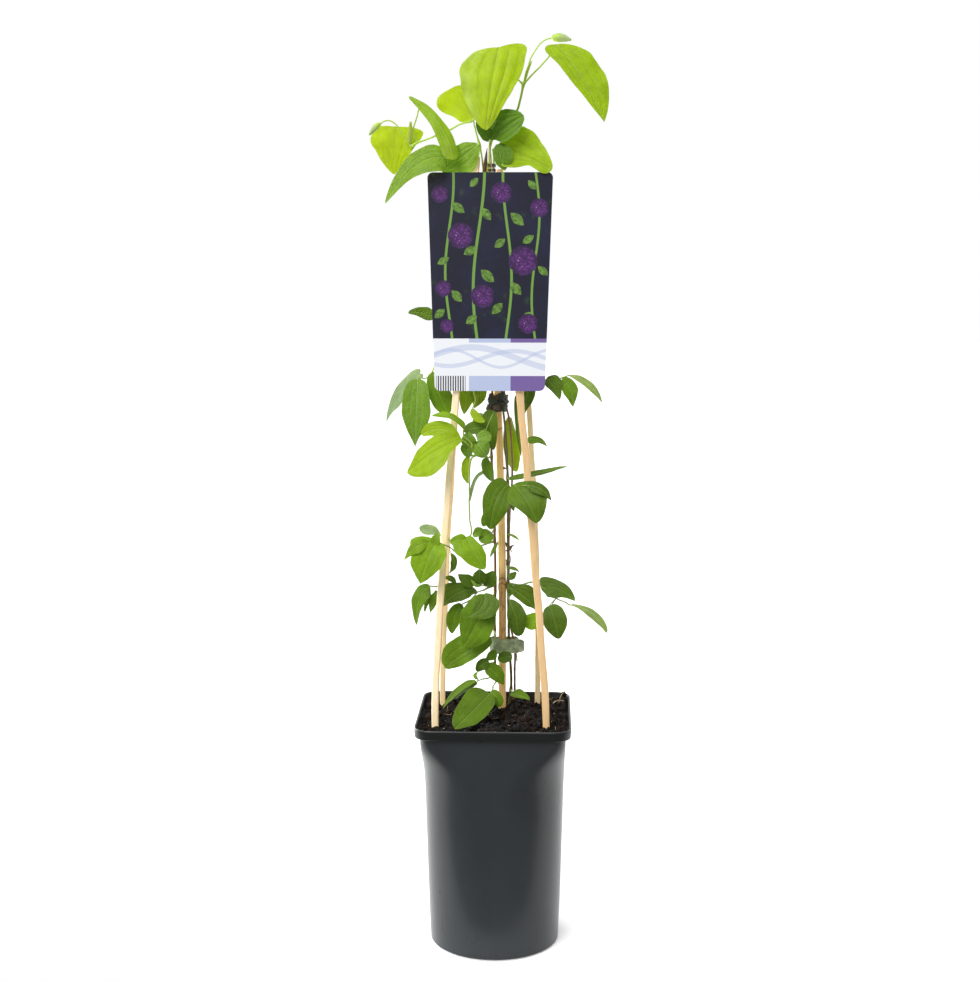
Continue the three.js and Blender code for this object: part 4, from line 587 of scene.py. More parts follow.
pale 63.5 0 292.5, 81.5 -4 286.5, 95 -4 269.5, 0.2 -0.8 0.6, 1 3 5 4 2, 1.5 2.5 3.5 4 3, 0.03, 16
leaf_right_small stem_left
- 10.5 4 325, 11 3 323.5
dark 11 3 323.5, 16.5 2 323, 21 2 320, , 1 1.5 1.5 1 0.5, , 0.02, 8
dark 11 5 317, 14.5 4 316.5, 18 4 320, , 1.5 3.5 3.5 2.5 1.5, , 0.03, 8
leaf_back_upper_left stem_right
- -7 -2 590, -11 5 595, -14 11 594
mid -14 12 594, -19 27 582, -24 34 556, -0.2 1 0.3, 7 11 11 8 4, , 0.08, 6
leaf_back_upper_right stem_third
- 4 -1 560, 8 9 572, 10 19 571
mid 10.5 20 570, 15.5 33 556, 20 39 528, 0.2 1 0.3, 7 11 11 8 4, , 0.08, 6
leaf_back_middle stem_right
- -3 0 446, -7 12 452, -9 18 452
mid -9 18 452, -12 29 444, -13 34 422, -0.1 1 0.3, 5 8 8 6 3, , 0.06, 6
leaf_back_lower stem_right
- 0 14 300, -4 26 294, -7 32 290
mid -7 32 290, -11 44 279, -14 50 254, -0.1 1 0.3, 6 9 9 7 3, , 0.06, 6
"""


def fields(line):
    """The numbers of a table's line, in lists between its commas."""
    return [[float(number) for number in part.split()] for part in line.split(",")]


def read_leaves(table):
    """Stem, stalks and leaflets of each leaf by its name. A line that ends in a comma goes on below."""
    leaves = {}
    for line in table.strip().replace(",\n", ",").splitlines():
        word, rest = line.split(" ", 1)
        if word.startswith("leaf_"):
            leaves[word] = rest, [], []
            stalks, leaflets = leaves[word][1:]
        elif word == "-":
            stalks.append(fields(rest))
        else:
            base, mid, tip, face, right, left, lobe, fold = fields(rest)
            leaflets.append((word, base, mid, tip, face or FACING, right, left or right, lobe, fold[0]))
    return leaves


LEAVES = read_leaves(LEAF_TABLE)

# the tones with a grown leaf's underside, and leaves with deeper veins
GROWN = {"mid", "glossy", "dark", "grey", "grown"}
DEEP = {"leaf_crown_centre": 3.2, "leaf_crown_curled": 3.2, "leaf_crown_far_left": 2.0,
        "leaf_crown_right": 1.6, "leaf_crown_right_lime": 2.4, "leaf_crown_left_dark": 1.8,
        "leaf_crown_mid_dark": 1.8}


# ---------- leaves ----------
STATIONS = np.array([0, 0.12, 0.3, 0.5, 0.7, 0.88, 1])
FINE = np.array([0, 0.025, 0.06, 0.11, 0.18, 0.26, 0.33, 0.37, 0.4, 0.43, 0.48, 0.56, 0.64, 0.7, 0.74,
                 0.78, 0.84, 0.91, 0.96, 1])
PLAIN = np.array([0, 0.05, 0.13, 0.25, 0.35, 0.4, 0.45, 0.58, 0.7, 0.82, 0.93, 1])
SIDE_VEINS = (0.4, 0.74)
# rows of a blade: mm between them, their fewest and their most
ROW_STEP, FEWEST_ROWS, MOST_ROWS = 1.4, 15, 42
# how far the blade rises between its veins and curls down at its edge, over its half width; how deep
# and wide its grooves are along the midrib, in mm, and along the side veins, their depth over the half
# width; and the range of its edge waves, over the half width
SWELLING, CURL = 0.014, 0.05
RIB_DEPTH, RIB_WIDTH = 0.14, 0.7
VEIN_DEPTHS, VEIN_WIDTH = (0.07, 0.03), 0.75
EDGE_WAVES = (0.03, 0.075)


def midrib(base, mid, tip, t):
    """Point and direction on the curved midrib that passes through mid at half way.
    Before the base it goes straight on backwards."""
    control = 2 * mid - (base + tip) / 2
    k = np.clip(t, 0, 1)[..., None]
    point = (1 - k) ** 2 * base + 2 * k * (1 - k) * control + k * k * tip
    along = unit(2 * (1 - k) * (control - base) + 2 * k * (tip - control))
    return point + np.minimum(t, 0)[..., None] * np.linalg.norm(tip - base) * along, along


def leaflet(skin, spec, seed, top, below, stalk, start, sizes, depth):
    """One leaflet as a thin closed shell, with its stalk and midrib as a tube below it.

    v runs along the midrib and u from -1 to 1 across. A point is midrib(v') + u W(v) across, where
    W is the smooth curve through the half widths and v' = v - lobe |u| W / widest (1 - v)^3 pulls
    the base corners back. Along the face it's lifted by the fold, by a swelling between the veins
    and by edge waves that grow with u^2, and sunk in Gaussian grooves along the veins."""
    rng = np.random.default_rng(seed)
    base, mid, tip, face = (np.asarray(p, float) for p in spec[1:5])
    right, left, lobe, fold = spec[5:9]
    length, widest = np.linalg.norm(tip - base), max(right + left)
    rows = int(np.clip(length / ROW_STEP, FEWEST_ROWS, MOST_ROWS))
    side = FINE if widest > 8 else PLAIN
    u = np.concatenate([-side[:0:-1], side])[None, :]
    even = np.linspace(0, 1, rows)[:, None]
    v = 0.45 * even ** 1.3 + 0.275 * (1 - np.cos(math.pi * even))
    blunt = np.clip(((right[4] + left[4]) / (right[3] + left[3]) - 0.5) / 0.15, 0, 1)
    at, here = (k + blunt * (np.arcsin(k) / (math.pi / 2) - k) for k in (np.sqrt(STATIONS), np.sqrt(v)))
    wide = [through(at, [0.12, *np.maximum(w, 0.4), 0.12], here) for w in (left, right)]
    for w in wide:
        a, b = rng.uniform(0, 6.28, 2)
        w *= 1 + 0.012 * np.sin(17 * v + a) + 0.006 * np.sin(43 * v + b)
    w = np.where(u < 0, wide[0], wide[1])
    reach = np.abs(u)
    x = reach * w
    lobe = np.where(u < 0, np.ravel(lobe)[-1], np.ravel(lobe)[0])
    centre, along = midrib(base, mid, tip, v - lobe * x / widest * (1 - v) ** 3)
    normal = unit(face - (along @ face)[..., None] * along)
    across = np.cross(along, normal)
    angle = math.radians(fold)
    ends = np.minimum(1, 7 * v) * np.minimum(1, 6 * (1 - v))
    lift = math.sin(angle) * (np.sqrt(x * x + 0.64) - 0.8)
    lift = lift + depth * ends * SWELLING * w * np.abs(np.sin(math.pi * reach / SIDE_VEINS[0]))
    lift = lift - depth * RIB_DEPTH * np.exp(-((x / RIB_WIDTH) ** 2))
    for at, sunk in zip(SIDE_VEINS, VEIN_DEPTHS):
        lift = lift - depth * ends * sunk * np.exp(-(((reach - at) * w / VEIN_WIDTH) ** 2))
    for sign in (-1, 1):
        f, p, a = rng.uniform(1.2, 2.6), rng.uniform(0, 6.28), rng.uniform(*EDGE_WAVES)
        lift = lift + (u * sign > 0) * a * w * ends * u * u * np.sin(FULL * f * v + p)
    lift = lift - CURL * w * reach ** 4
    flat = centre + (u * w * math.cos(angle))[..., None] * across
    lift = lift + 0.12 * ripple(flat, 11.0, seed) + 0.05 * ripple(flat, 4.0, seed + 1)
    sheet = flat + lift[..., None] * normal
    half_thick = 0.5 * sizes.leaf_thickness / MM * np.sqrt(1 - 0.7 * reach ** 4)[..., None] * normal
    shell = np.concatenate([sheet + half_thick, (sheet - half_thick)[:, ::-1]], 1)
    many = u.shape[1]
    sweep = (u[0] + 1) / 2
    skin.grid(shell, wrap=True, caps="ab", u=np.concatenate([sweep, sweep[::-1], sweep[:1]]), v=v[:, 0],
              half=np.concatenate([w, w[:, ::-1]], 1),
              columns=np.array([top] * (many - 1) + [below] * (many + 1)))
    t = np.linspace(0, 0.94, 18)
    thick = min(0.5, 0.2 + 0.016 * widest)
    size = thick * (1 - 0.8 * t)
    spine, ahead = midrib(base, mid, tip, t)
    up = unit(face - (ahead @ face)[:, None] * ahead)
    spine = spine - (RIB_DEPTH * depth + 0.12 + 0.75 * size)[:, None] * up
    skin.tube(spine, size, 7, below)
    if np.linalg.norm(start - spine[0]) > 0.6:
        path = run([start, spine[0], spine[2]], 12)
        skin.tube(path, 1.15 * thick * np.linspace(1.15, 0.9, 12), 8, stalk)


def under(tone):
    """The underside material of a tone."""
    return "under_grown" if tone in GROWN else "under_young"


def nearest(points, target):
    return points[int(np.argmin(np.linalg.norm(points - target, axis=1)))]


def grow_leaf(name, sizes, materials, seed):
    """One leaf: its stalks as tapering tubes from the stem outwards, then its leaflets."""
    stem, stalks, blades = LEAVES[name]
    skin = Skin()
    tones = sorted({blade[0] for blade in blades})
    kinds = [*tones, "stalk", *sorted(set(map(under, tones)))]
    knots = []
    for i, stalk in enumerate(stalks):
        points = [np.asarray(p, float) for p in stalk]
        if i == 0 and stem:
            points[0] = nearest(run(STEMS[stem][0], 400), points[1])
        path = run(points, 8 + 5 * len(points))
        path[1:-1] += 0.18 * ripple(path[1:-1] * [1, 1.3, 0.8], 9.0, seed + i)[:, None] * [1, 0.6, 0.3]
        knots += points[1:]
        t = np.linspace(0, 1, len(path))
        thick = sizes.stalk_radius / MM * (1 - 0.28 * t)
        thick = thick * (1 + (0.55 if i == 0 else 0.2) * np.exp(-((t / 0.07) ** 2)))
        skin.tube(path, thick, 8, kinds.index("stalk"),
                  lambda a, row: 1 + 0.07 * np.cos(4 * a) + 0 * row)
    for i, blade in enumerate(blades):
        start = nearest(np.array(knots), np.asarray(blade[1], float))
        top, below, stalk = (kinds.index(kind) for kind in (blade[0], under(blade[0]), "stalk"))
        leaflet(skin, blade, seed + 31 * i, top, below, stalk, start, sizes,
                DEEP.get(name, 1.0) * sizes.vein_depth)
    stand_in(skin.piece(name + "_grown", [materials[k] for k in kinds], 60), name)


# ---------- pot and soil ----------
POT_HEIGHT, RIM_DEPTH, POT_CORNER, POT_FOOT, POT_TOP, POT_WALL = 200.0, 8.0, 13.0, 55.0, 60.5, 1.5
SOIL_LEVEL, SOIL_HALF, SOIL_CORNER, CRUMB_EDGE = 194.6, 62.2, 12.4, 60.5
DRAINS, DRAIN_CIRCLE, DRAIN_RADIUS = 8, 36.0, 4.0


def square_reach(angle, half, corner):
    """From the middle of a square with rounded corners to its edge, in one direction: the flat side,
    or where min(|cos|, |sin|) times that passes the core, the corner's arc."""
    c, s = np.abs(np.cos(angle)), np.abs(np.sin(angle))
    flat = half / np.maximum(c, s)
    core = half - corner
    along = (c + s) * core
    arc = along + np.sqrt(np.maximum(along ** 2 - 2 * core ** 2 + corner ** 2, 0))
    return np.where(np.minimum(c, s) * flat <= core, flat, arc)


def pot_section(z, inset):
    """Half width, which grows as t^0.8, and corner radius of the pot at a height: a circle that turns
    into a rounded square near the top, being (1 - t^12.8)^4 round."""
    t = np.clip(z / (POT_HEIGHT - RIM_DEPTH), 0, 1)
    half = POT_FOOT + (POT_TOP - POT_FOOT) * t ** 0.8 - inset
    corner = POT_CORNER + (POT_FOOT - POT_CORNER) * (1 - t ** 12.8) ** 4 - inset
    return half, np.minimum(corner, half)


def square_turns(columns):
    """Angles once round a square, closer together at its corners."""
    even = turns(columns)
    return even + 0.16 * np.sin(4 * even)


def square_rings(rings, columns=208):
    """Stacked rounded-square rings, each (height, half width, corner radius), as a grid of points."""
    z, half, corner = (np.array(a, float)[:, None] for a in zip(*rings))
    angle = square_turns(columns)
    reach = square_reach(angle, half, corner)
    return np.stack([reach * np.cos(angle), reach * np.sin(angle), np.broadcast_to(z, reach.shape)], -1)


def pot_rings():
    """The pot's profile from under its middle, out and up the wall, over the rim and down inside."""
    rings = fields("0.3 2 2, 0.3 21 21, 0.6 21.8 21.8, 2.8 22.3 22.3, 3 23 23, 3 45 45, 2.8 45.8 45.8, "
                   "0.4 46.3 46.3, 0 47 47, 0 53.3 53.3, 0.25 54.3 54.3")
    for z in [0.9, 2, 4, *np.linspace(8, 188, 46), 190.2, 191.2]:
        rings.append((z, *pot_section(z, 0)))
    rings += fields("191.7 61 13.2, 191.7 63.9 14, 192.1 64.35 14.4, 193 64.5 14.5, 196 64.75 14.8, "
                    "198.6 64.95 15, 199.5 64.8 14.8, 199.95 64.4 14.4, 199.95 63.9 13.9, "
                    "199.6 63.4 13.4, 198.8 63.15 13.2, 194 62.85 12.9, 193.3 62.4 12.5, "
                    "193 60.4 11.7, 192.4 59.3 11.5")
    for z in [191, *np.linspace(188, 10, 45), 6.5]:
        rings.append((z, *pot_section(z, POT_WALL)))
    half = pot_section(5, POT_WALL)[0]
    return rings + [(5, half - 0.6, half - 0.6), (4.5, half - 2, half - 2), (4.5, 20, 20), (4.5, 2, 2)]


def soil_height(x, y):
    """Soil surface: a low mound by the stems, slow swells, and clods of three sizes."""
    mound = 3.5 * np.exp(-((x - 14) ** 2 + (y - 6) ** 2) / 800)
    swell = 1.1 * np.sin(0.33 * x + 1) * np.sin(0.29 * y) + 0.7 * np.sin(0.61 * x + 0.83 * y)
    clods = 4.6 * (lattice(x, y, 7.5, 11) ** 1.5 - 0.35) + 3.4 * (lattice(x + y, x - y, 4.4, 12) - 0.5)
    fine = 2.0 * (lattice(x, y, 2.1, 13) - 0.5) + 0.9 * (lattice(x, y, 1.1, 14) - 0.5)
    hollow = np.exp(-((x + 29) ** 2 + (y + 49) ** 2) / 130)
    return SOIL_LEVEL + mound + 0.8 * swell + (clods + fine) * (1 - 0.8 * hollow) - 2.2 * hollow


def soil_spots(rng, many, edge=CRUMB_EDGE):
    """Random places on the soil surface, in mm, inside the rounded square."""
    x, y = rng.uniform(-edge, edge, (2, many * 2))
    inside = np.hypot(x, y) < square_reach(np.arctan2(y, x), edge, 12)
    x, y = x[inside][:many], y[inside][:many]
    return np.stack([x, y, soil_height(x, y)], -1)


# ---------- canes, stems and ties ----------
CANES = {
    "cane_front_left": fields("-40 -32 65, -44.5 -32.3 130, -48.6 -33.9 195, -41.3 -24.8 345,"
                   "-28.7 -15.4 500, -14.3 -5.5 664"),
    "cane_front_right": fields("40 -32 65, 43 -32.6 130, 44.3 -32.4 195, 32.8 -24 345, 18.6 -15.4 500,"
                   "4.4 -6.8 654"),
    "cane_back_left": fields("-40 32 65, -44 32.3 130, -46.5 31.6 195, -41.1 25 345, -31 18.2 500,"
                   "-26.7 11.4 652"),
    "cane_back_right": fields("30.5 41 65, 33.5 43 130, 36.2 44.5 195, 34.3 34.4 345, 25.9 23.9 500,"
                   "21.1 13.6 652"),
    "cane_centre": fields("4 26.3 65, 5.8 20 195, 5.6 12.7 345, 1.2 5.8 500, -3.6 -0.2 651.5"),
}
CANE_HALF_WIDTH, BACK_HALF_WIDTH, CANE_HALF_DEPTH, CENTRE_RADIUS = 3.0, 2.4, 2.25, 3.4
CANE_FOOT, CANE_RISE, CANE_ROWS, CANE_SIDES = 65, 600, 150, 24


def split_cane(skin, points, half, seed, joints):
    """A split cane: a rounded rectangle, cos and sin to the power 0.45, carried up the curve.
    Its width wanders a little and swells at the joints. UVs go round and up, from the left edge."""
    path = run(points, CANE_ROWS)
    up = path[:, 2:]
    path += 0.22 * np.stack([ripple(up, 90.0, seed), ripple(up, 110.0, seed + 1),
                             np.zeros(CANE_ROWS)], 1) * np.minimum(1, (up - CANE_FOOT) / 60)
    along = unit(np.gradient(path, axis=0))
    across = unit(np.cross(along, [0, 1, 0]))
    depth = np.cross(across, along)
    angle = turns(CANE_SIDES)
    c, s = np.cos(angle), np.sin(angle)
    wide = 1 + 0.03 * ripple(up, 60.0, seed + 2)[:, None]
    for z in joints:
        wide = wide + 0.07 * np.exp(-(((up - z) / 3.2) ** 2))
    x = half * wide * np.sign(c) * np.abs(c) ** 0.45
    y = CANE_HALF_DEPTH * wide * np.sign(s) * np.abs(s) ** 0.55
    y = y + 0.12 * (np.abs(x) < 0.73 * half) * ripple((path[:, :1] + angle)[..., None], 3, seed)
    tip = 1 - 0.14 * np.exp(-((np.arange(CANE_ROWS) - CANE_ROWS + 1) / 0.8) ** 2)[:, None]
    grid = path[:, None] + (x * tip)[..., None] * across[:, None] - (y * tip)[..., None] * depth[:, None]
    skin.grid(grid, wrap=True, caps="ab", v=(path[:, 2] - CANE_FOOT) / CANE_RISE)


STEMS = {
    "stem_left": (fields(
        "12 32 172, 12 31 195.5, 13.5 28 217, 13 23 234.5, 11.8 17 253.5, 11.5 15 276, 11 13 302.5, "
        "11 11 329, 11 9 355, 11 7 381, 10.5 5 406.5, 9.5 2 432, 7.5 -1 453.5, 6 -2 466, 2 -7 520, "
        "-3 -8.5 562, -8.4 -5 610, -9.6 -1.4 656, -12 -0.8 671.5, -15.5 0.5 684.5, "
        "-17.5 2 693"), 1.25, 0.7),
    "stem_right": (fields(
        "6.5 31 172, 6 30 194, 4 28 212, 0 22 234, -0.5 18 253, -0.4 15 280, 0 13 306.5, 0 12 328.5, "
        "-0.4 10 350.5, -0.8 9 372, -1.8 6 398, -2.8 2 419.5, -2.6 -1 441, -1.8 -2 466, -5 -1.5 520, "
        "-5.5 -2 562, -4.5 -4.5 613.5, -4 -7 656, -4 -6.5 665.5, -3 -4 676, 6.5 2 688.5, 17 5 700, "
        "20.5 5 710.5, 23 4 722.5"), 1.1, 0.95),
    "stem_third": (fields(
        "16 35 172, 16 34 195, 16.5 31 214.5, 16.5 27 230.5, 17 20 244, 15.6 18 257, 13 18.5 272, "
        "11.5 18.5 293, 11.5 18 319.5, 11.5 17 345.5, 12.5 14 372, 14.3 10 397.5, 14 7 423.5, 12 4 449, "
        "8.6 1.5 466, 5 0 548.5, 2 -3 613.5, -0.5 -6.5 656, -1 -6 670"), 1.0, 0.7),
    "shoot_left": (fields(
        "-19.5 2.2 693, -27.5 1 691, -38 0 685.5, -48 0 681.5, -57 -1 678, -65 -2 675, "
        "-68.5 -2 672.5"), 0.8, 0.7),
}


def grow_stem(name, materials):
    """A stem: a tube with six soft ribs that twist, thickened where its leaves leave it."""
    points, foot, tip = STEMS[name]
    rows = int(sum(math.dist(a, b) for a, b in zip(points, points[1:])) / 2.6)
    path = run(points, rows)
    t = np.linspace(0, 1, rows)
    radius = foot + (tip - foot) * t
    for stem, stalks, _ in LEAVES.values():
        if stem == name:
            gap = np.linalg.norm(path - nearest(path, np.asarray(stalks[0][1], float)), axis=1)
            radius = radius + 0.45 * np.exp(-((gap / 2.4) ** 2))
    radius = radius + 0.05 * ripple(path[:, 2:], 14.0, 5)
    skin = Skin()
    skin.tube(path, radius, 14, 0, lambda a, row: 1 + 0.06 * np.cos(6 * a + 9 * row), twist=3.0)
    stand_in(skin.piece(name + "_grown", [materials[0]], 60), name)


def slot_band(skin, centre, half, inner, wall, height, seed, mat=0, wrinkle=0.25):
    """A tape round a bundle: the outline of a flat slot, half long and inner + wall round its ends,
    as a thin closed wall. It's wrinkled by noise and its edges wave up and down."""
    angle = turns(96)
    z = np.linspace(-0.5, 0.5, 14)[:, None] * height
    c, s = np.cos(angle) + 0 * z, np.sin(angle) + 0 * z
    middle = half * np.tanh(5 * c)
    where = np.stack([c * 9, s * 9, z + 0 * c], -1)
    push = wrinkle * ripple(where, 5.5, seed) + 0.5 * wrinkle * ripple(where, 2.2, seed + 1)
    edge = 0.35 * ripple(where[..., :2], 7.0, seed + 2) * (2 * z / height)
    outer, inside = inner + wall + push, inner + wall * 0.35 + push
    sheets = [np.stack([middle + r * c, r * s, z + edge], -1) for r in (outer, inside)]
    loop = np.concatenate([sheets[0], sheets[1][::-1]]) + centre
    skin.grid(loop, mat, wrap=True, closed=True)


# ---------- label ----------
CARD_WIDE, CARD_TALL = 100, 174
LABEL = {"top": 102.0, "base": 90.0, "height": 176.6, "thick": 0.7, "corner": 4.5,
         "x": -3.4, "y": -21.4, "z": 475.0, "lean": 0.052}


def label_card(skin):
    """A thin card with rounded corners on a leaning plane, bowed 0.6 mm across its width.
    Corner rows narrow by r - sqrt(r^2 - d^2), d being how far the row is inside the corner."""
    r, height = LABEL["corner"], LABEL["height"]
    d = r * (1 - np.cos(np.linspace(0, math.pi / 2, 9)))
    up = np.concatenate([d, np.linspace(r, height - r, 24)[1:-1], height - d[::-1]])[:, None]
    inside = np.minimum(np.maximum(r - up, 0) + np.maximum(up - height + r, 0), r)
    half = (LABEL["base"] + (LABEL["top"] - LABEL["base"]) * up / height) / 2
    half = half - r + np.sqrt(r * r - inside ** 2)
    u = np.linspace(-1, 1, 21)[None, :]
    x = u * half
    bow = 0.6 * (1 - (x / 50) ** 2) + 0 * up
    sheets = [np.stack([x, bow + t, up + 0 * x], -1) for t in (LABEL["thick"] - 0.1, -0.1)]
    flat = np.concatenate([sheets[0], sheets[1][:, ::-1]], 1)
    c, s = math.cos(LABEL["lean"]), math.sin(LABEL["lean"])
    grid = np.stack([LABEL["x"] + flat[..., 0],
                     LABEL["y"] + flat[..., 2] * s - flat[..., 1] * c,
                     LABEL["z"] + flat[..., 2] * c + flat[..., 1] * s], -1)
    across = np.concatenate([flat[..., 0], flat[:, :1, 0]], 1) / CARD_WIDE + 0.5
    skin.grid(grid, wrap=True, caps="ab", u=across, v=up[:, 0] / height,
              columns=np.array([0] * 20 + [1] * 22))


# ---------- materials ----------
def blade(s, tip, rib, vein):
    """Where a point is on the blade, from its own UVs and its half width in mm: across, up and out from
    the midrib, then masks of the blade but for its ends, of the midrib and of the side veins. tip, rib
    and vein give where each mask fades out."""
    across, up, _ = s.axes(s.own())
    half = s.node("ShaderNodeAttribute", {"attribute_name": "half"}, output="Fac")
    out = abs(across * 2 - 1)
    ends = up.fade(0.0, 0.08) * up.drop(tip, 1.0)
    sides = [(abs(out - at) * half).drop(*vein) * ends for at in SIDE_VEINS]
    return across, up, out, ends, (out * half).drop(*rib), sides


def leaf_material(name, colour, vein, glow, seed, rough, share, lines=1.0, sheen=0.0):
    """Leaf skin: the midrib and a side vein, sine lines that leave the midrib towards the tip, and the
    edges of small cells; the colour drifts between them. lines makes the side veins and the net stronger;
    these pale lines are partly real veins and, on the bright and glossy tones, partly painted glints along
    them. sheen paints a pale highlight into the colour towards one margin."""
    s = Shader(name)
    across, up, out, ends, main, sides = blade(s, 0.82, (0.15, 0.55), (0.1, 0.5))
    where = s.place()
    moved = s.node("ShaderNodeVectorMath", {"operation": "ADD"},
                   [where, (3.1 * seed, 7.7 * seed, 1.3 * seed)])
    lean = up * 6.5 - out * 1.5 + s.noise(moved, 0.16, 1.0) * 0.5 + (across > 0.5) * 0.4
    branch = (lean * FULL).wave().fade(0.95, 1.0) * out.drop(0.55, 0.95) * ends
    net = s.cells(moved, 0.34, "DISTANCE_TO_EDGE").drop(0.02, 0.1)
    fine = s.cells(moved, 1.1, "DISTANCE_TO_EDGE").drop(0.02, 0.12)
    patch = s.noise(moved, 0.09, 3.0, 0.6).fade(0.3, 0.7)
    grain = s.noise(moved, 1.6, 3.0, 0.6)
    colour_at = s.layers(s.drift(patch, colour, 0.84, 1.14),
                         (grain.fade(0.35, 0.75) * 0.22, tinted(colour, 0.62)))
    # painted highlight: sheen pales the colour towards one margin, standing for reflected light
    if sheen:
        painted_sheen = (across > 0.5) * out.fade(0.3, 0.9) * patch.fade(0.0, 0.7, 0.3, 1.0) * ends * sheen
        colour_at = s.blend(painted_sheen, colour_at, linear(214, 228, 170))
    # vein and net lines: partly real pale veins, and on the bright and glossy tones partly painted glints
    net_at = (net * (0.06 + 0.1 * lines)).most(fine * 0.06)
    vein_at = (main * 0.6).most(sides[0] * (0.16 * lines))
    vein_at = vein_at.most(branch * (0.16 + 0.08 * lines)).most(net_at)
    # the second coat pales the margin: partly the leaf's own paler edge, partly painted edge light
    colour_at = s.layers(colour_at, (vein_at, vein), (out.fade(0.94, 1.0) * 0.3, tinted(vein, 0.95)))
    height = patch * 0.15 + grain * 0.12 - main * 0.3 - sides[0] * 0.2
    height = height - branch * 0.3 - net * 0.3 - fine * 0.12
    roughness = grain * 0.16 + rough - 0.08 + net * 0.05
    return s.finish(colour_at, roughness, s.bump(height, 0.75, 0.0005), glow, share,
                    Specular_IOR_Level=0.25)


def underside_material(name, colour, vein, glow, seed):
    """Leaf underside: paler and matt, its veins standing out and lighter."""
    s = Shader(name)
    *_, main, sides = blade(s, 0.85, (0.3, 0.9), (0.15, 0.6))
    where = s.place()
    net = s.cells(where, 0.34, "DISTANCE_TO_EDGE").drop(0.02, 0.11)
    patch = s.noise(where, 0.1 + 0.01 * seed, 3.0, 0.6).fade(0.3, 0.7)
    lines = (main * 0.7).most(sides[0] * 0.6).most(sides[1] * 0.4).most(net * 0.35)
    colour_at = s.blend(lines, s.drift(patch, colour, 0.86, 1.1), vein)
    height = main * 0.4 + sides[0] * 0.6 + sides[1] * 0.4 + net * 0.5 + s.noise(where, 2.2, 2.0) * 0.15
    return s.finish(colour_at, patch * 0.1 + 0.52, s.bump(height, 0.7, 0.0004), glow, 0.26)


def stalk_material(name, low, high, rough=0.42, turn=(0.3, 0.62)):
    """Stalk skin: one colour near the soil turning to another between two heights, with fine ribs."""
    s = Shader(name)
    z = s.height()
    where = s.place((1000, 1000, 160))
    streak = s.noise(where, 1.3, 3.0, 0.6)
    patch = s.noise(s.place(), 0.08, 2.0)
    level = (z + patch * 0.04 - 0.02).fade(*turn)
    colour = s.layers(low, (level, high), (streak.fade(0.45, 0.8) * 0.25, tinted(low, 0.6)))
    return s.finish(colour, streak * 0.2 + rough - 0.08, s.bump(streak, 0.5, 0.0003), high, 0.06)


def bamboo_material(name, pale, skin, mark, cut, seed, marks):
    """Split bamboo: long fibres of the cut face, the smooth skin on one edge, dark pores and marks, and a
    faint warm emission that lifts its shaded sides as painted light.
    cut gives where across the section, round its UV, the skin edge lies and how wide it is."""
    s = Shader(name)
    around, *_ = s.axes(s.own())
    fibre = s.noise((1000, 1000, 14), 1.9, 4.0, 0.65)
    long = s.noise((260, 260, 3.2), 1.0 + 0.03 * seed, 3.0, 0.6)
    broad = s.noise((60, 60, 9), 1.0 + 0.05 * seed, 3.0, 0.6)
    pores = s.noise((1900, 1900, 40), 1.0, 2.0, 0.5).fade(0.64, 0.74)
    edge = abs(around - cut[0]).drop(cut[1] * 0.55, cut[1])
    dark = s.noise((420, 420, 26), 1.0 + 0.1 * seed, 4.0, 0.7).fade(0.6, 0.72) * marks
    colour = s.layers(s.drift(broad.fade(0.3, 0.7), pale, 0.93, 1.05),
                      (fibre.fade(0.35, 0.75) * 0.4, tinted(skin, 0.98)),
                      (long.fade(0.55, 0.8) * 0.35, skin), (edge * 0.85, skin), (pores * 0.28, mark),
                      (dark, mark))
    height = fibre * 0.55 + long * 0.3 - pores * 0.4 - dark * 0.3
    # painted light: the faint warm emission brightens the cane where it lies in shade
    return s.finish(colour, fibre * 0.2 + 0.42 - edge * 0.1, s.bump(height, 0.5, 0.0004),
                    Emission_Color=(*linear(240, 214, 160), 1), Emission_Strength=0.1)


def centre_cane_material(name, colour, skin, mark):
    """Round cane: tan skin with long streaks, dark stains, a weathered lower part and a faint warm emission
    that lifts its shade as painted light.
    """
    s = Shader(name)
    z = s.height()
    fibre = s.noise((900, 900, 22), 1.3, 4.0, 0.65)
    stain = s.noise((300, 300, 42), 1.0, 4.0, 0.7)
    streak = s.noise((420, 420, 6), 1.0, 3.0, 0.6)
    low = z.fade(0.236, 0.262) * z.drop(0.3, 0.33)
    base = s.layers(colour, (fibre.fade(0.3, 0.75), skin),
                    (streak.fade(0.5, 0.72) * 0.4, tinted(mark, 2.2)),
                    (low * fibre.fade(0.3, 0.7, 0.6, 0.9), linear(142, 88, 32)),
                    (stain.fade(0.5, 0.62) * (low * 0.6 + 0.25), mark))
    wander = s.noise((140, 140, 60), 1.0, 2.0) * 0.009 - 0.0045
    for level, weight in ((0.312, 0.9), (0.3075, 0.8), (0.441, 0.6), (0.556, 0.6)):
        base = s.blend(abs(z - level + wander).fade(0.0004, 0.0014, weight, 0.0), base, mark)
    height = fibre * 0.5 - stain * 0.4
    # painted light: the faint warm emission brightens the cane where it lies in shade
    return s.finish(base, fibre * 0.2 + 0.4, s.bump(height, 0.5, 0.0004),
                    Emission_Color=(*linear(240, 190, 110), 1), Emission_Strength=0.1)


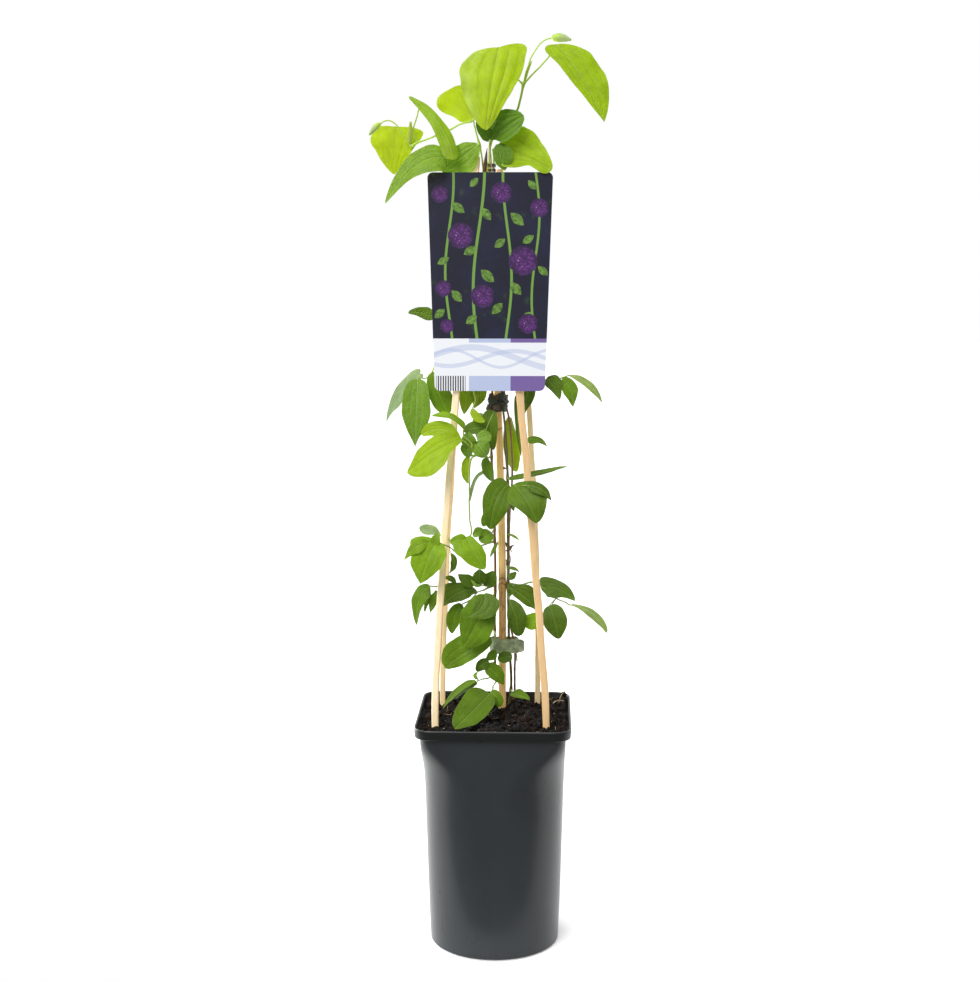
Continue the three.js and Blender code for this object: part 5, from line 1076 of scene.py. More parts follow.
def pot_material(name, colour, foot_tint):
    """Moulded plastic: faint flow lines, fine grain, a lighter tone towards the foot, a rim band painted
    far darker as painted shade, scuffs on the rim and soil specks.
    """
    s = Shader(name)
    where, z = s.place(), s.height()
    grain = s.noise(where, 0.9, 4.0, 0.6)
    flow = s.noise((45, 45, 520), 1.0, 3.0, 0.6)
    draw = s.noise((230, 230, 8), 1.0, 3.0, 0.6)
    cloud = s.noise((22, 22, 11), 1.0, 4.0, 0.6)
    scuff = s.noise((180, 180, 900), 1.0, 4.0, 0.7).fade(0.62, 0.72)
    rim, scuff = z.fade(0.1905, 0.1925), scuff * z.fade(0.17, 0.19)
    edges = z.fade(0.1988, 0.1998) * 0.5 + scuff * 0.06 + flow.fade(0.5, 0.8) * 0.03
    speck = s.noise(where, 0.55, 2.0, 0.5).fade(0.71, 0.74) * z.fade(0.17, 0.2)
    # lighter towards the foot; the rim band is painted far darker than the body, as painted shade
    colour_at = s.layers(s.drift(cloud.fade(0.3, 0.7), colour, 0.88, 1.12),
                         (z.drop(0.0, 0.17) * 0.3 + cloud * 0.1, foot_tint), (rim, tinted(colour, 0.15)),
                         (edges, tinted(foot_tint, 1.6)), (speck * 0.7, linear(70, 48, 34)))
    rough = cloud * 0.08 + draw * 0.06 + 0.22 + rim * 0.12 + scuff * 0.08
    height = flow * 0.1 + draw * 0.16 + grain * 0.04
    return s.finish(colour_at, rough, s.bump(height, 0.2, 0.0002), Specular_IOR_Level=0.34)


def soil_material(name, dark, crumb, seed, wet=0.3):
    """Peat: dark damp body with brown fibres, crumbs and pale grains."""
    s = Shader(name)
    where = s.place()
    clod = s.noise(where, 0.13 + 0.01 * seed, 4.0, 0.65)
    crumbs = s.cells(where, 0.55)
    fibre = s.noise(s.place((1000, 300, 900), turn=(0.4, 0.2, 0.6)), 0.8, 3.0, 0.7, 0.6)
    grit = s.noise(where, 1.7, 3.0, 0.7)
    colour = s.layers(dark, (clod.fade(0.45, 0.72), tinted(crumb, 0.5)),
                      (fibre.fade(0.58, 0.72) * 0.6, tinted(crumb, 0.8)),
                      (grit.fade(0.68, 0.78) * 0.4, tinted(crumb, 1.7)))
    height = clod * 0.9 + grit * 0.5 + fibre * 0.5 - crumbs * 0.4
    return s.finish(colour, grit * 0.25 + 0.9 - wet, s.bump(height, 0.8, 0.0012), Specular_IOR_Level=0.2)


def tape_material(name, colour, shine, through, seed):
    """Stretched tape: creases across it painted in the pale shine colour as painted highlights, cloudy
    thickness and a soft shine; the shine colour also tints the light through it.
    """
    s = Shader(name)
    where = s.place()
    crease = s.noise((700, 700, 2100), 0.3 + 0.02 * seed, 4.0, 0.6, 1.2)
    cloud = s.noise(where, 0.2, 3.0)
    cloudy = s.drift(cloud.fade(0.35, 0.7), colour, 0.75, 1.3)
    # painted highlight: the creases are blended towards the pale shine colour
    colour_at = s.blend(crease.fade(0.58, 0.7) * 0.5, cloudy, shine)
    return s.finish(colour_at, cloud * 0.2 + 0.28, s.bump(crease, 0.8, 0.0008), shine, through)


def mottled_material(name, first, second, size, rough, thin=None, share=0.0, depth=0.0004):
    """Two display colours in soft patches of a size in mm, with fine grain and bumps."""
    s, first, second = Shader(name), linear(*first), linear(*second)
    where = s.place()
    patch = s.noise(where, 1 / size, 4.0, 0.65)
    grain = s.noise(where, 6 / size, 3.0, 0.6)
    colour = s.layers(first, (patch.fade(0.35, 0.68), second),
                      (grain.fade(0.6, 0.8) * 0.35, tinted(first, 0.55)))
    bump = s.bump(patch + grain * 0.5, 0.6, depth)
    return s.finish(colour, grain * 0.2 + rough - 0.1, bump, thin, share)


def bud_material(name, pale, green, tip):
    """Bud: silky ribs along it, greener at its base and tinged at its tip."""
    s = Shader(name)
    around, up, _ = s.axes(s.own())
    rib = (around * 8 * math.pi).wave()
    down = s.noise((1400, 2600, 1400), 0.6, 3.0, 0.6)
    colour = s.layers(green, (up.fade(0.15, 0.7), pale), (rib.fade(0.2, 1.0) * 0.4, tinted(pale, 1.12)),
                      (up.fade(0.9, 1.0) * 0.3, tip))
    return s.finish(colour, down * 0.2 + 0.42, s.bump(rib * 0.3 + down, 0.4, 0.0003), pale, 0.2)


# ---------- label print ----------
# the printed picture, in mm on the card, x from its middle and y from its foot: each sprig's x, sway,
# length of a wave over 2 pi, phase and half width; each leaf's x, y, turn in radians, half length and
# half width; each pompon's x, y and radius
SPRIGS = fields("-33 3.4 23 0.6 0.75, -9 4.6 31 2.1 0.9, 14 3.6 26 4.4 0.8, 37 3 21 1.2 0.7")
LENSES = fields("-41 62 0.7 9 3.4, -27 76 2.3 10 3.8, -38 104 0.5 9 3.2, -26 146 2.5 11 3.8, "
                "-15 57 0.6 9 3.6, -2 92 2.4 12 4.2, -16 112 0.5 10 3.8, -3 141 2.2 10 3.6, "
                "6 66 0.8 10 3.7, 21 82 2.3 11 4, 8 118 0.7 9 3.4, 22 137 2.4 12 4.2, 30 60 0.7 8 3, "
                "43 96 2.4 9 3.2, 31 121 0.6 9 3.4, -13 166 0.8 8 3, 34 164 2.3 8 3")
POMPONS = fields("-24 124 11, 27 104 12.5, -6 76 10, 9 158 9, -38 82 7, 40 146 8, -41 157 7.5, "
                 "31 54 8.5, -35 52 6")


def print_material(name, label):
    """The card's face. The picture is wavy sprigs with lens-shaped leaves, and pompons of ringed
    florets, on a dark ground; below it are a divided strip, a white band with sweeping lines and a
    foot of even bars, a pale block and a deep block."""
    s = Shader(name)
    white, leaf_deep, stem = label.paper, tinted(label.leaf, 0.3), tinted(label.leaf, 1.15)
    card = s.own((CARD_WIDE, CARD_TALL, 1))
    across, y, _ = s.axes(card)
    x = across - CARD_WIDE / 2
    soft = s.noise(card, 0.035, 3.0, 0.6)
    glow = s.noise(card, 0.09, 2.0, 0.5)
    picture = s.layers(label.ground, (soft.fade(0.42, 0.72), tinted(label.ground, 2.1)),
                       (glow.fade(0.6, 0.8) * 0.45, leaf_deep))
    shade = s.noise(card, 0.3, 3.0, 0.6)
    for middle, sway, wave, phase, thick in SPRIGS:
        line = abs((y / wave + phase).wave() * sway + middle - x)
        picture = s.blend(line.drop(thick, thick + 0.5) * 0.9, picture, stem)
    for cx, cy, turn, length, width in LENSES:
        local = s.local(card, (cx + CARD_WIDE / 2, cy, 0), (length / 1.6, width, 1), turn)
        p, q, _ = s.axes(local)
        q = abs(q)
        green = s.layers(leaf_deep, (shade.fade(0.3, 0.7), label.leaf),
                         (q.fade(0.0, 0.12, 0.5, 0.0), stem))
        picture = s.blend((1 - p * p - q).fade(0.0, 0.14), picture, green)
    for cx, cy, radius in POMPONS:
        local = s.local(card, (cx + CARD_WIDE / 2, cy, 0), (radius, radius, radius))
        r = s.node("ShaderNodeVectorMath", {"operation": "LENGTH"}, [local], "Value")
        florets = s.cells(local, 5.5)
        deep = tinted(label.petal, 0.3)
        petal = s.layers(label.petal, (florets.fade(0.1, 0.75), deep),
                         (((r * 21.0).wave() * 0.5 + 0.5) * 0.35, deep),
                         (r.fade(0.5, 1.0, 0.0, 0.55), label.ground),
                         (florets.drop(0.1, 0.2) * r.drop(0.34, 0.42), linear(226, 222, 140)))
        ragged = r + s.noise(card, 0.5, 2.0) * 0.3
        picture = s.blend(ragged.drop(1.05, 1.13), picture, petal)
    blocks = s.layers(white, (x.past(-17), label.pale_block), (x.past(17), label.deep_block))
    sweep = 0.0
    for rise, wave, phase, thick in ((6.0, 17.0, 0.4, 1.5), (9.0, 24.0, 2.2, 2.3), (7.0, 13.0, 4.0, 1.0)):
        line = abs((x / wave + phase).wave() * rise + 26.0 - y)
        sweep = line.fade(thick, thick + 0.4, 0.55, 0.0) + sweep
    band = s.blend(sweep.least(0.8), white, label.pale_block)
    stripes = (x * 3.1).wave().past(0) * x.past(-44) * x.drop(-19.9, -19.7)
    foot = s.blend(stripes, blocks, linear(28, 26, 34))
    face = s.layers(foot, (y.past(12.1), band), (y.past(38.8), blocks), (y.past(42), picture))
    dots = s.noise(s.place(), 1.4, 2.0)
    return s.finish(face, dots * 0.08 + 0.3, s.bump(dots, 0.12, 0.0002), Coat_Roughness=0.15,
                    Coat_Weight=0.1)


# ---------- settings ----------
def colour_setting(name, description, red, green, blue):
    return FloatVectorProperty(name=name, description=description, subtype="COLOR", size=3, min=0, max=1,
                               default=linear(red, green, blue))


def length_setting(name, description, millimetres):
    return FloatProperty(name=name, description=description, subtype="DISTANCE", unit="LENGTH",
                         default=millimetres * MM, min=0.0, max=1.0, precision=5)


class ClematisLeaves(bpy.types.PropertyGroup):
    """Sizes and colours of the leaves, stems and buds"""

    leaf_thickness: length_setting("Leaf thickness", "Thickness of a leaf between its veins", 0.28)
    stalk_radius: length_setting("Stalk radius", "Radius of a leaf stalk at the stem", 0.72)
    vein_depth: FloatProperty(name="Vein depth", description="How deep the veins are sunk, 1 as grown",
                              default=1.0, min=0, max=3)
    lime: colour_setting("Lime", "Youngest leaves, in the crown", 168, 196, 0)
    light: colour_setting("Light green", "Young leaves", 134, 170, 0)
    fresh: colour_setting("Fresh green", "Young leaves in the crown's shade", 152, 186, 0)
    glossy: colour_setting("Glossy green", "Shiny curled leaves", 97, 141, 2)
    mid: colour_setting("Mid green", "Grown leaves", 104, 140, 4)
    dark: colour_setting("Dark green", "Oldest and shaded leaves", 82, 111, 2)
    grey: colour_setting("Grey green", "Leaves that show their underside", 158, 182, 124)
    olive: colour_setting("Olive", "Leaves turning darker", 122, 153, 4)
    pale: colour_setting("Pale green", "Thin leaves with light behind them", 142, 166, 82)
    bark: colour_setting("Bark", "Stems below the crown", 128, 90, 50)
    shoot: colour_setting("Shoot", "Stems and stalks in the crown", 164, 190, 68)
    bud: colour_setting("Bud", "Sepals of the flower buds", 186, 204, 140)


class ClematisPot(bpy.types.PropertyGroup):
    """Pot and soil"""

    plastic: colour_setting("Plastic", "Pot colour", 39, 43, 45)
    # the lighter tone that the pot turns to towards its foot
    foot_tint: colour_setting("Dust", "Bloom on the lower part of the pot", 47, 52, 54)
    soil: colour_setting("Soil", "Damp peat", 7, 4, 3)
    crumb: colour_setting("Crumbs", "Dry crumbs and fibres", 54, 34, 21)
    crumbs: IntProperty(name="Crumbs", description="Number of loose crumbs on the soil", default=1100,
                        min=0, max=4000)
    fibres: IntProperty(name="Fibres", description="Number of peat fibres on the soil", default=170,
                        min=0, max=600)


class ClematisCanes(bpy.types.PropertyGroup):
    """Canes and ties"""

    cut: colour_setting("Cut face", "Pale split face of the front left cane", 255, 236, 200)
    peach: colour_setting("Peach", "Face of the front right cane", 218, 182, 134)
    tan: colour_setting("Tan", "Back canes", 242, 216, 170)
    skin: colour_setting("Skin", "Golden skin along the cane edges", 226, 176, 104)
    centre: colour_setting("Centre cane", "Round cane in the middle", 255, 222, 160)
    mark: colour_setting("Marks", "Stains and pores on the canes", 84, 52, 30)
    tape: colour_setting("Tape", "Lower tie", 172, 182, 148)
    band: colour_setting("Dark tie", "Middle and top ties", 38, 46, 28)


class ClematisLabel(bpy.types.PropertyGroup):
    """Picture label"""

    paper: colour_setting("Paper", "White of the card", 236, 239, 244)
    ground: colour_setting("Ground", "Dark ground of the picture", 12, 16, 38)
    petal: colour_setting("Petals", "Violet of the pompons", 112, 52, 140)
    leaf: colour_setting("Sprigs", "Green of the printed leaves", 112, 154, 62)
    pale_block: colour_setting("Pale block", "Lavender at the foot", 182, 193, 224)
    deep_block: colour_setting("Deep block", "Purple at the foot", 117, 95, 157)


class ClematisStudio(bpy.types.PropertyGroup):
    """Floor, lights and camera"""

    floor: colour_setting("Floor", "Plain pale floor", 246, 246, 246)
    floor_size: FloatProperty(name="Floor size", description="Width of the floor", default=24.0, min=2,
                              subtype="DISTANCE", unit="LENGTH")
    surround: FloatProperty(name="Surround", description="Strength of the light from the back and sides",
                            default=1.2, min=0)
    front: FloatProperty(name="Front", description="Strength of the light from the viewer's side",
                         default=0.45, min=0)
    key: FloatProperty(name="Key", description="Strength of the wide main light", default=2.9, min=0)
    lens: FloatProperty(name="Lens", description="Focal length on a 36 mm sensor", default=58.72,
                        min=10, max=300, unit="CAMERA")


# ---------- operators ----------
class CLEMATIS_OT_pot(bpy.types.Operator):
    """Square nursery pot with a stepped rim, an open groove and drain holes under its foot"""

    bl_idname = "clematis.pot"
    bl_label = "Pot"

    def execute(self, context):
        pot = context.scene.clematis_pot
        skin = Skin()
        skin.grid(square_rings(pot_rings()), wrap=True, caps="ab")
        made = skin.piece("pot_moulded", [pot_material("Pot plastic", pot.plastic, pot.foot_tint)], 38)
        drills = Skin()
        for turn in np.arange(DRAINS) * FULL / DRAINS + math.pi / 8:
            x, y = DRAIN_CIRCLE * math.cos(turn), DRAIN_CIRCLE * math.sin(turn)
            drills.tube([(x, y, z) for z in (1.0, 3.0, 4.0, 6.0)], DRAIN_RADIUS, 28)
        drill = drills.piece("pot_drill", [])
        cut = made.modifiers.new("Drains", "BOOLEAN")
        cut.operation, cut.solver, cut.object = "DIFFERENCE", "EXACT", drill
        depsgraph = context.evaluated_depsgraph_get()
        mesh = bpy.data.meshes.new_from_object(made.evaluated_get(depsgraph), depsgraph=depsgraph)
        made.modifiers.clear()
        made.data = mesh
        bpy.data.objects.remove(drill)
        stand_in(made, "pot")
        return {"FINISHED"}


class CLEMATIS_OT_soil(bpy.types.Operator):
    """Peat with clods, crumbs, fibres, pale grains and a straw"""

    bl_idname = "clematis.soil"
    bl_label = "Soil"

    def execute(self, context):
        pot = context.scene.clematis_pot
        rng = np.random.default_rng(21)
        skin = Skin()
        columns, rows = 260, 88
        angle = square_turns(columns)
        share = np.linspace(1, 0.02, rows)[:, None]
        reach = share * square_reach(angle, SOIL_HALF, SOIL_CORNER)
        x, y = reach * np.cos(angle), reach * np.sin(angle)
        height = soil_height(x, y) - 1.6 * np.clip((share - 0.97) / 0.03, 0, 1)
        height = np.where(share > 0.995, np.minimum(height, 196.5), height)
        sides = [(z, *pot_section(z, POT_WALL + 0.35)) for z in (5.2, *np.linspace(90, 192, 26))]
        walls = square_rings([*sides, (193.6, SOIL_HALF, SOIL_CORNER)], columns)
        skin.grid(np.concatenate([walls, np.stack([x, y, height], -1)]), wrap=True, caps="ab")
        spots = soil_spots(rng, pot.crumbs)
        sizes = 0.4 + 2.3 * rng.random(len(spots)) ** 2.5
        light = rng.random(len(spots)) < 0.3
        spots[:, 2] += 0.3 * sizes
        skin.blobs(spots[~light], sizes[~light], 22, 0, 0.45)
        skin.blobs(spots[light], sizes[light], 23, 1, 0.45)
        grains = soil_spots(rng, 46)
        grains[:, 2] += 0.35
        skin.blobs(grains, rng.uniform(0.22, 0.6, len(grains)), 24, 3)
        ends = soil_spots(rng, pot.fibres, 58)
        ways, lengths = rng.uniform(0, 6.28, len(ends)), 3 + 9 * rng.random(len(ends)) ** 2
        t = np.linspace(-0.5, 0.5, 7)[:, None]
        for i, (start, turn, long) in enumerate(zip(ends, ways, lengths)):
            path = start + long * t * [math.cos(turn), math.sin(turn), 0]
            path = path + 0.25 * long * (t * t - 0.1) * [-math.sin(turn), math.cos(turn), 0]
            path[:, :2] = np.clip(path[:, :2], -CRUMB_EDGE, CRUMB_EDGE)
            arch = 1.6 * rng.random() * (1 - 4 * t[:, 0] ** 2)
            path[:, 2] = soil_height(path[:, 0], path[:, 1]) + 0.25 + arch
            skin.tube(path, (0.1 + 0.2 * rng.random()) * np.linspace(1, 0.5, 7), 5, 1 + (i % 5 == 0))
        for points, thick, end in (("55.2 40 197, 57.8 40 204.5, 62.2 42 208", 0.45, 0.6),
                                   ("50 30 199, 54 33 200.5, 59.5 37 199", 0.5, 0.7)):
            skin.tube(run(fields(points), 16), thick * np.linspace(1, end, 16), 7, 2)
        materials = [soil_material("Peat", pot.soil, pot.crumb, 1),
                     soil_material("Dry peat", tinted(pot.crumb, 0.55), tinted(pot.crumb, 1.15), 2, 0.1),
                     mottled_material("Straw", (150, 128, 84), (196, 176, 128), 3.0, 0.55),
                     mottled_material("Pale grains", (206, 204, 190), (170, 160, 140), 1.0, 0.6)]
        stand_in(skin.piece("soil_peat", materials, 70), "soil")
        return {"FINISHED"}


class CLEMATIS_OT_canes(bpy.types.Operator):
    """Four split corner canes and a round one in the middle"""

    bl_idname = "clematis.canes"
    bl_label = "Canes"

    def execute(self, context):
        c = context.scene.clematis_canes
        cuts = {
            "cane_front_left": (c.cut, c.skin, (0.5, 0.2), 31, 0.12, ()),
            "cane_front_right": (c.peach, c.skin, (0.02, 0.1), 34, 0.1, (470,)),
            "cane_back_left": (c.tan, c.skin, (0.5, 0.2), 37, 0.35, (352, 590)),
            "cane_back_right": (c.tan, linear(216, 190, 138), (0.04, 0.2), 41, 0.3, (268, 520)),
        }
        for name, (face, skin_colour, cut, seed, marks, joints) in cuts.items():
            skin = Skin()
            half = BACK_HALF_WIDTH if "back" in name else CANE_HALF_WIDTH
            split_cane(skin, CANES[name], half, seed, joints)
            material = bamboo_material("Bamboo " + name[5:], face, skin_colour, c.mark, cut, seed, marks)
            stand_in(skin.piece(name + "_split", [material], 40), name)
        skin = Skin()
        path = run(CANES["cane_centre"], 170)
        up = path[:, 2:]
        joints = sum(np.exp(-(((up[:, 0] - z) / 2.6) ** 2)) for z in (305.0, 556.0))
        radius = CENTRE_RADIUS - 0.12 + 0.05 * ripple(up, 40.0, 44) + 0.42 * joints
        skin.tube(path, radius, 28, 0,
                  lambda a, row: 1 + 0.018 * np.cos(3 * a + 2 * row) + 0.012 * np.cos(7 * a - 5 * row))
        material = centre_cane_material("Bamboo centre", c.centre, c.skin, c.mark)
        stand_in(skin.piece("cane_centre_round", [material], 40), "cane_centre")
        return {"FINISHED"}


class CLEMATIS_OT_stems(bpy.types.Operator):
    """Three twining stems, the side shoot and the shoot tips with their buds"""

    bl_idname = "clematis.stems"
    bl_label = "Stems and buds"

    def execute(self, context):
        g = context.scene.clematis_leaves
        bark = stalk_material("Stem bark", g.bark, g.shoot, 0.48, (0.63, 0.67))
        olive = stalk_material("Olive bark", linear(98, 90, 44), g.shoot, 0.48, (0.63, 0.67))
        green = stalk_material("Green shoot", g.shoot, tinted(g.shoot, 1.35))
        bud = bud_material("Bud sepals", g.bud, tinted(g.shoot, 1.5), tinted(g.lime, 0.8))
        young = mottled_material("Young leaf", (196, 218, 100), (206, 222, 84), 6.0, 0.45, g.lime, 0.3)
        for name in STEMS:
            grow_stem(name, [{"shoot_left": green, "stem_left": olive}.get(name, bark)])
        for name, stalk, body, widest, leaf in (
                ("shoot_tip_right",
                 "22.6 4.2 721, 25 4 731, 27 3 737, 29 3 743, 32.5 3 749, 37 4 755, 42.5 5 758.5, "
                 "46.5 5 759",
                 "45.5 5 758.9, 49 5.3 759.4, 53 5.5 759.4, 61.8 5 757.6", 3.9,
                 "24 4.2 725, 26.2 3.6 733, 29.6 1.4 741"),
                ("shoot_tip_left",
                 "-68.3 -2 672.2, -74.5 -4 682.5, -79.5 -6 689.5, -85 -7 693, -89.5 -8 692.5, -93 -9 690",
                 "-92 -8.8 690.8, -95 -10 688.8, -97.5 -11 686.2, -101.5 -12 681", 2.6,
                 "-69.8 -2.4 674, -68.9 -3.4 683, -68.2 -5 692.5")):
            skin = Skin()
            skin.tube(run(fields(stalk), 44), 0.62 * np.linspace(1.1, 0.9, 44), 9)
            t = np.linspace(0, 1, 34)
            swell = 0.45 + (widest - 0.45) * np.sin(math.pi * t ** 0.85) ** 0.75 * (1 - 0.35 * t)
            skin.tube(run(fields(body), 34), swell, 24, 1,
                      lambda a, row: 1 + 0.07 * np.abs(np.cos(2 * a)) - 0.05 * np.cos(8 * a) * row)
            t = np.linspace(0, 1, 22)
            wide = 0.25 + 1.15 * np.sin(math.pi * t ** 0.8) ** 0.8
            for side in (-1, 1):
                path = run(np.array(fields(leaf)) + [0.5 * side, 0.25 * side, 0], 22)
                skin.tube(path, wide, 12, 2, lambda a, row: 1 - 0.45 * np.cos(a) ** 2)
            stand_in(skin.piece(name + "_grown", [green, bud, young], 60), name)
        return {"FINISHED"}


class CLEMATIS_OT_leaves(bpy.types.Operator):
    """Every leaf with its stalks and leaflets, and the dry scraps between them"""

    bl_idname = "clematis.leaves"
    bl_label = "Leaves"

    def execute(self, context):
        g = context.scene.clematis_leaves
        tops = {
            "lime": (g.lime, (204, 222, 110), (190, 220, 10), 0.3, 0.34),
            # bright: its whitish vein colour and stronger lines are partly painted glints along the veins,
            # and its sheen is a painted highlight
            "bright": (linear(194, 218, 4), (226, 238, 140), (210, 232, 10), 0.34, 0.42, 1.3, 0.22),
            "thin": (linear(190, 208, 0), (224, 232, 100), (240, 246, 6), 0.44, 0.42),
            "light": (g.light, (168, 200, 96), (150, 200, 16), 0.36, 0.26),
            "fresh": (g.fresh, (184, 212, 104), (160, 205, 6), 0.34, 0.26, 1.5),
            "satin": (linear(124, 162, 0), (196, 220, 130), (140, 190, 6), 0.28, 0.24, 2.2),
            # glossy: its stronger pale vein and net lines are partly painted glints on the curled leaves
            "glossy": (g.glossy, (160, 192, 100), (120, 175, 8), 0.3, 0.2, 1.6),
            "round": (linear(112, 150, 14), (176, 204, 122), (130, 185, 20), 0.34, 0.22, 2.2),
            "mid": (g.mid, (148, 178, 80), (110, 170, 18), 0.36, 0.2),
            "dark": (g.dark, (130, 162, 72), (80, 140, 20), 0.34, 0.13),
            "grown": (linear(90, 122, 4), (136, 166, 72), (96, 150, 16), 0.38, 0.16),
            "grey": (g.grey, (160, 184, 136), (120, 160, 60), 0.52, 0.2),
            "olive": (g.olive, (170, 184, 84), (150, 180, 14), 0.38, 0.24),
            "pale": (g.pale, (190, 204, 140), (160, 186, 80), 0.45, 0.18),
        }
        materials = {}
        for i, (tone, (colour, vein, glow, *finish)) in enumerate(tops.items()):
            materials[tone] = leaf_material("Leaf " + tone, colour, linear(*vein), linear(*glow), i,
                                            *finish)
        for i, age, *colours in ((1, "Young", (160, 190, 50), (196, 214, 120), (180, 210, 20)),
                                 (2, "Grown", (122, 154, 82), (160, 184, 130), (110, 160, 40))):
            materials["under_" + age.lower()] = underside_material(
                age + " leaf underside", *(linear(*colour) for colour in colours), i)
        materials["stalk"] = stalk_material("Leaf stalk", linear(120, 146, 56), tinted(g.shoot, 1.2))
        for i, name in enumerate(LEAVES):
            grow_leaf(name, g, materials, 100 + 7 * i)
        self.scraps(materials)
        return {"FINISHED"}

    def scraps(self, materials):
        """Thin dead bits on the canes: twisted slivers and a dry stem with a knob."""
        skin = Skin()
        for i, (ends, wide, kind) in enumerate([
            ("10.6 5 352.3, 15.5 3 351, 20.8 2 347.6", 1.0, 0),
            ("2.7 4.4 345.4, -0.5 3 340, -4 2 332.9", 1.5, 0),
            ("8.6 8 344.6, 12.5 4 341, 14.5 4 336.1", 0.9, 1),
            ("9.0 9 329.7, 10.8 6 327, 11.9 6 323.7", 0.9, 1),
            ("-13.5 -9.6 229.5, -16.5 -10 233, -14 -10 236.5", 1.4, 0),
            ("-10 -17 312, -15 -20 313, -19 -20 317.5", 1.4, 0),
            ("8.6 6 344.5, 11.5 4 341, 16.3 3.5 343.2", 0.9, 1),
            ("8.8 6 337.5, 12 4 338.8, 14.6 4 341", 0.8, 1),
            ("11.6 4 337.5, 13.2 3.5 331, 11.4 5 322", 0.25, 1),
            ("9.2 5 330.4, 10.2 4 328.3, 9.4 5 326", 1.1, 1),
        ]):
            path = run(fields(ends), 20)
            t = np.linspace(0, 1, 20)
            size = 0.15 + wide * np.sin(math.pi * np.minimum(t * 0.96 + 0.03, 1)) ** 0.8
            skin.tube(path, size, 12, kind,
                      lambda a, row: np.sqrt(np.cos(a) ** 2 + 0.05 * np.sin(a) ** 2), twist=0.8 + 0.3 * i)
        skin.tube(run([(9.5, 8, 407), (8, 2.5, 432), (8, 1.5, 445)], 30), 0.4, 8, 1)
        skin.tube(run([(17.7, 21.6, 246), (18.6, 22, 241), (18.6, 22, 238.2)], 14), 0.5, 8, 0)
        skin.blobs(np.array([(7.9, 2, 408.5)]), np.array([1.3]), 61, 1)
        dry = mottled_material("Dry scraps", (66, 50, 30), (120, 96, 56), 2.0, 0.65)
        made = skin.piece("dry_scraps", [materials["light"], dry], 60)
        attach(made, ROOT)


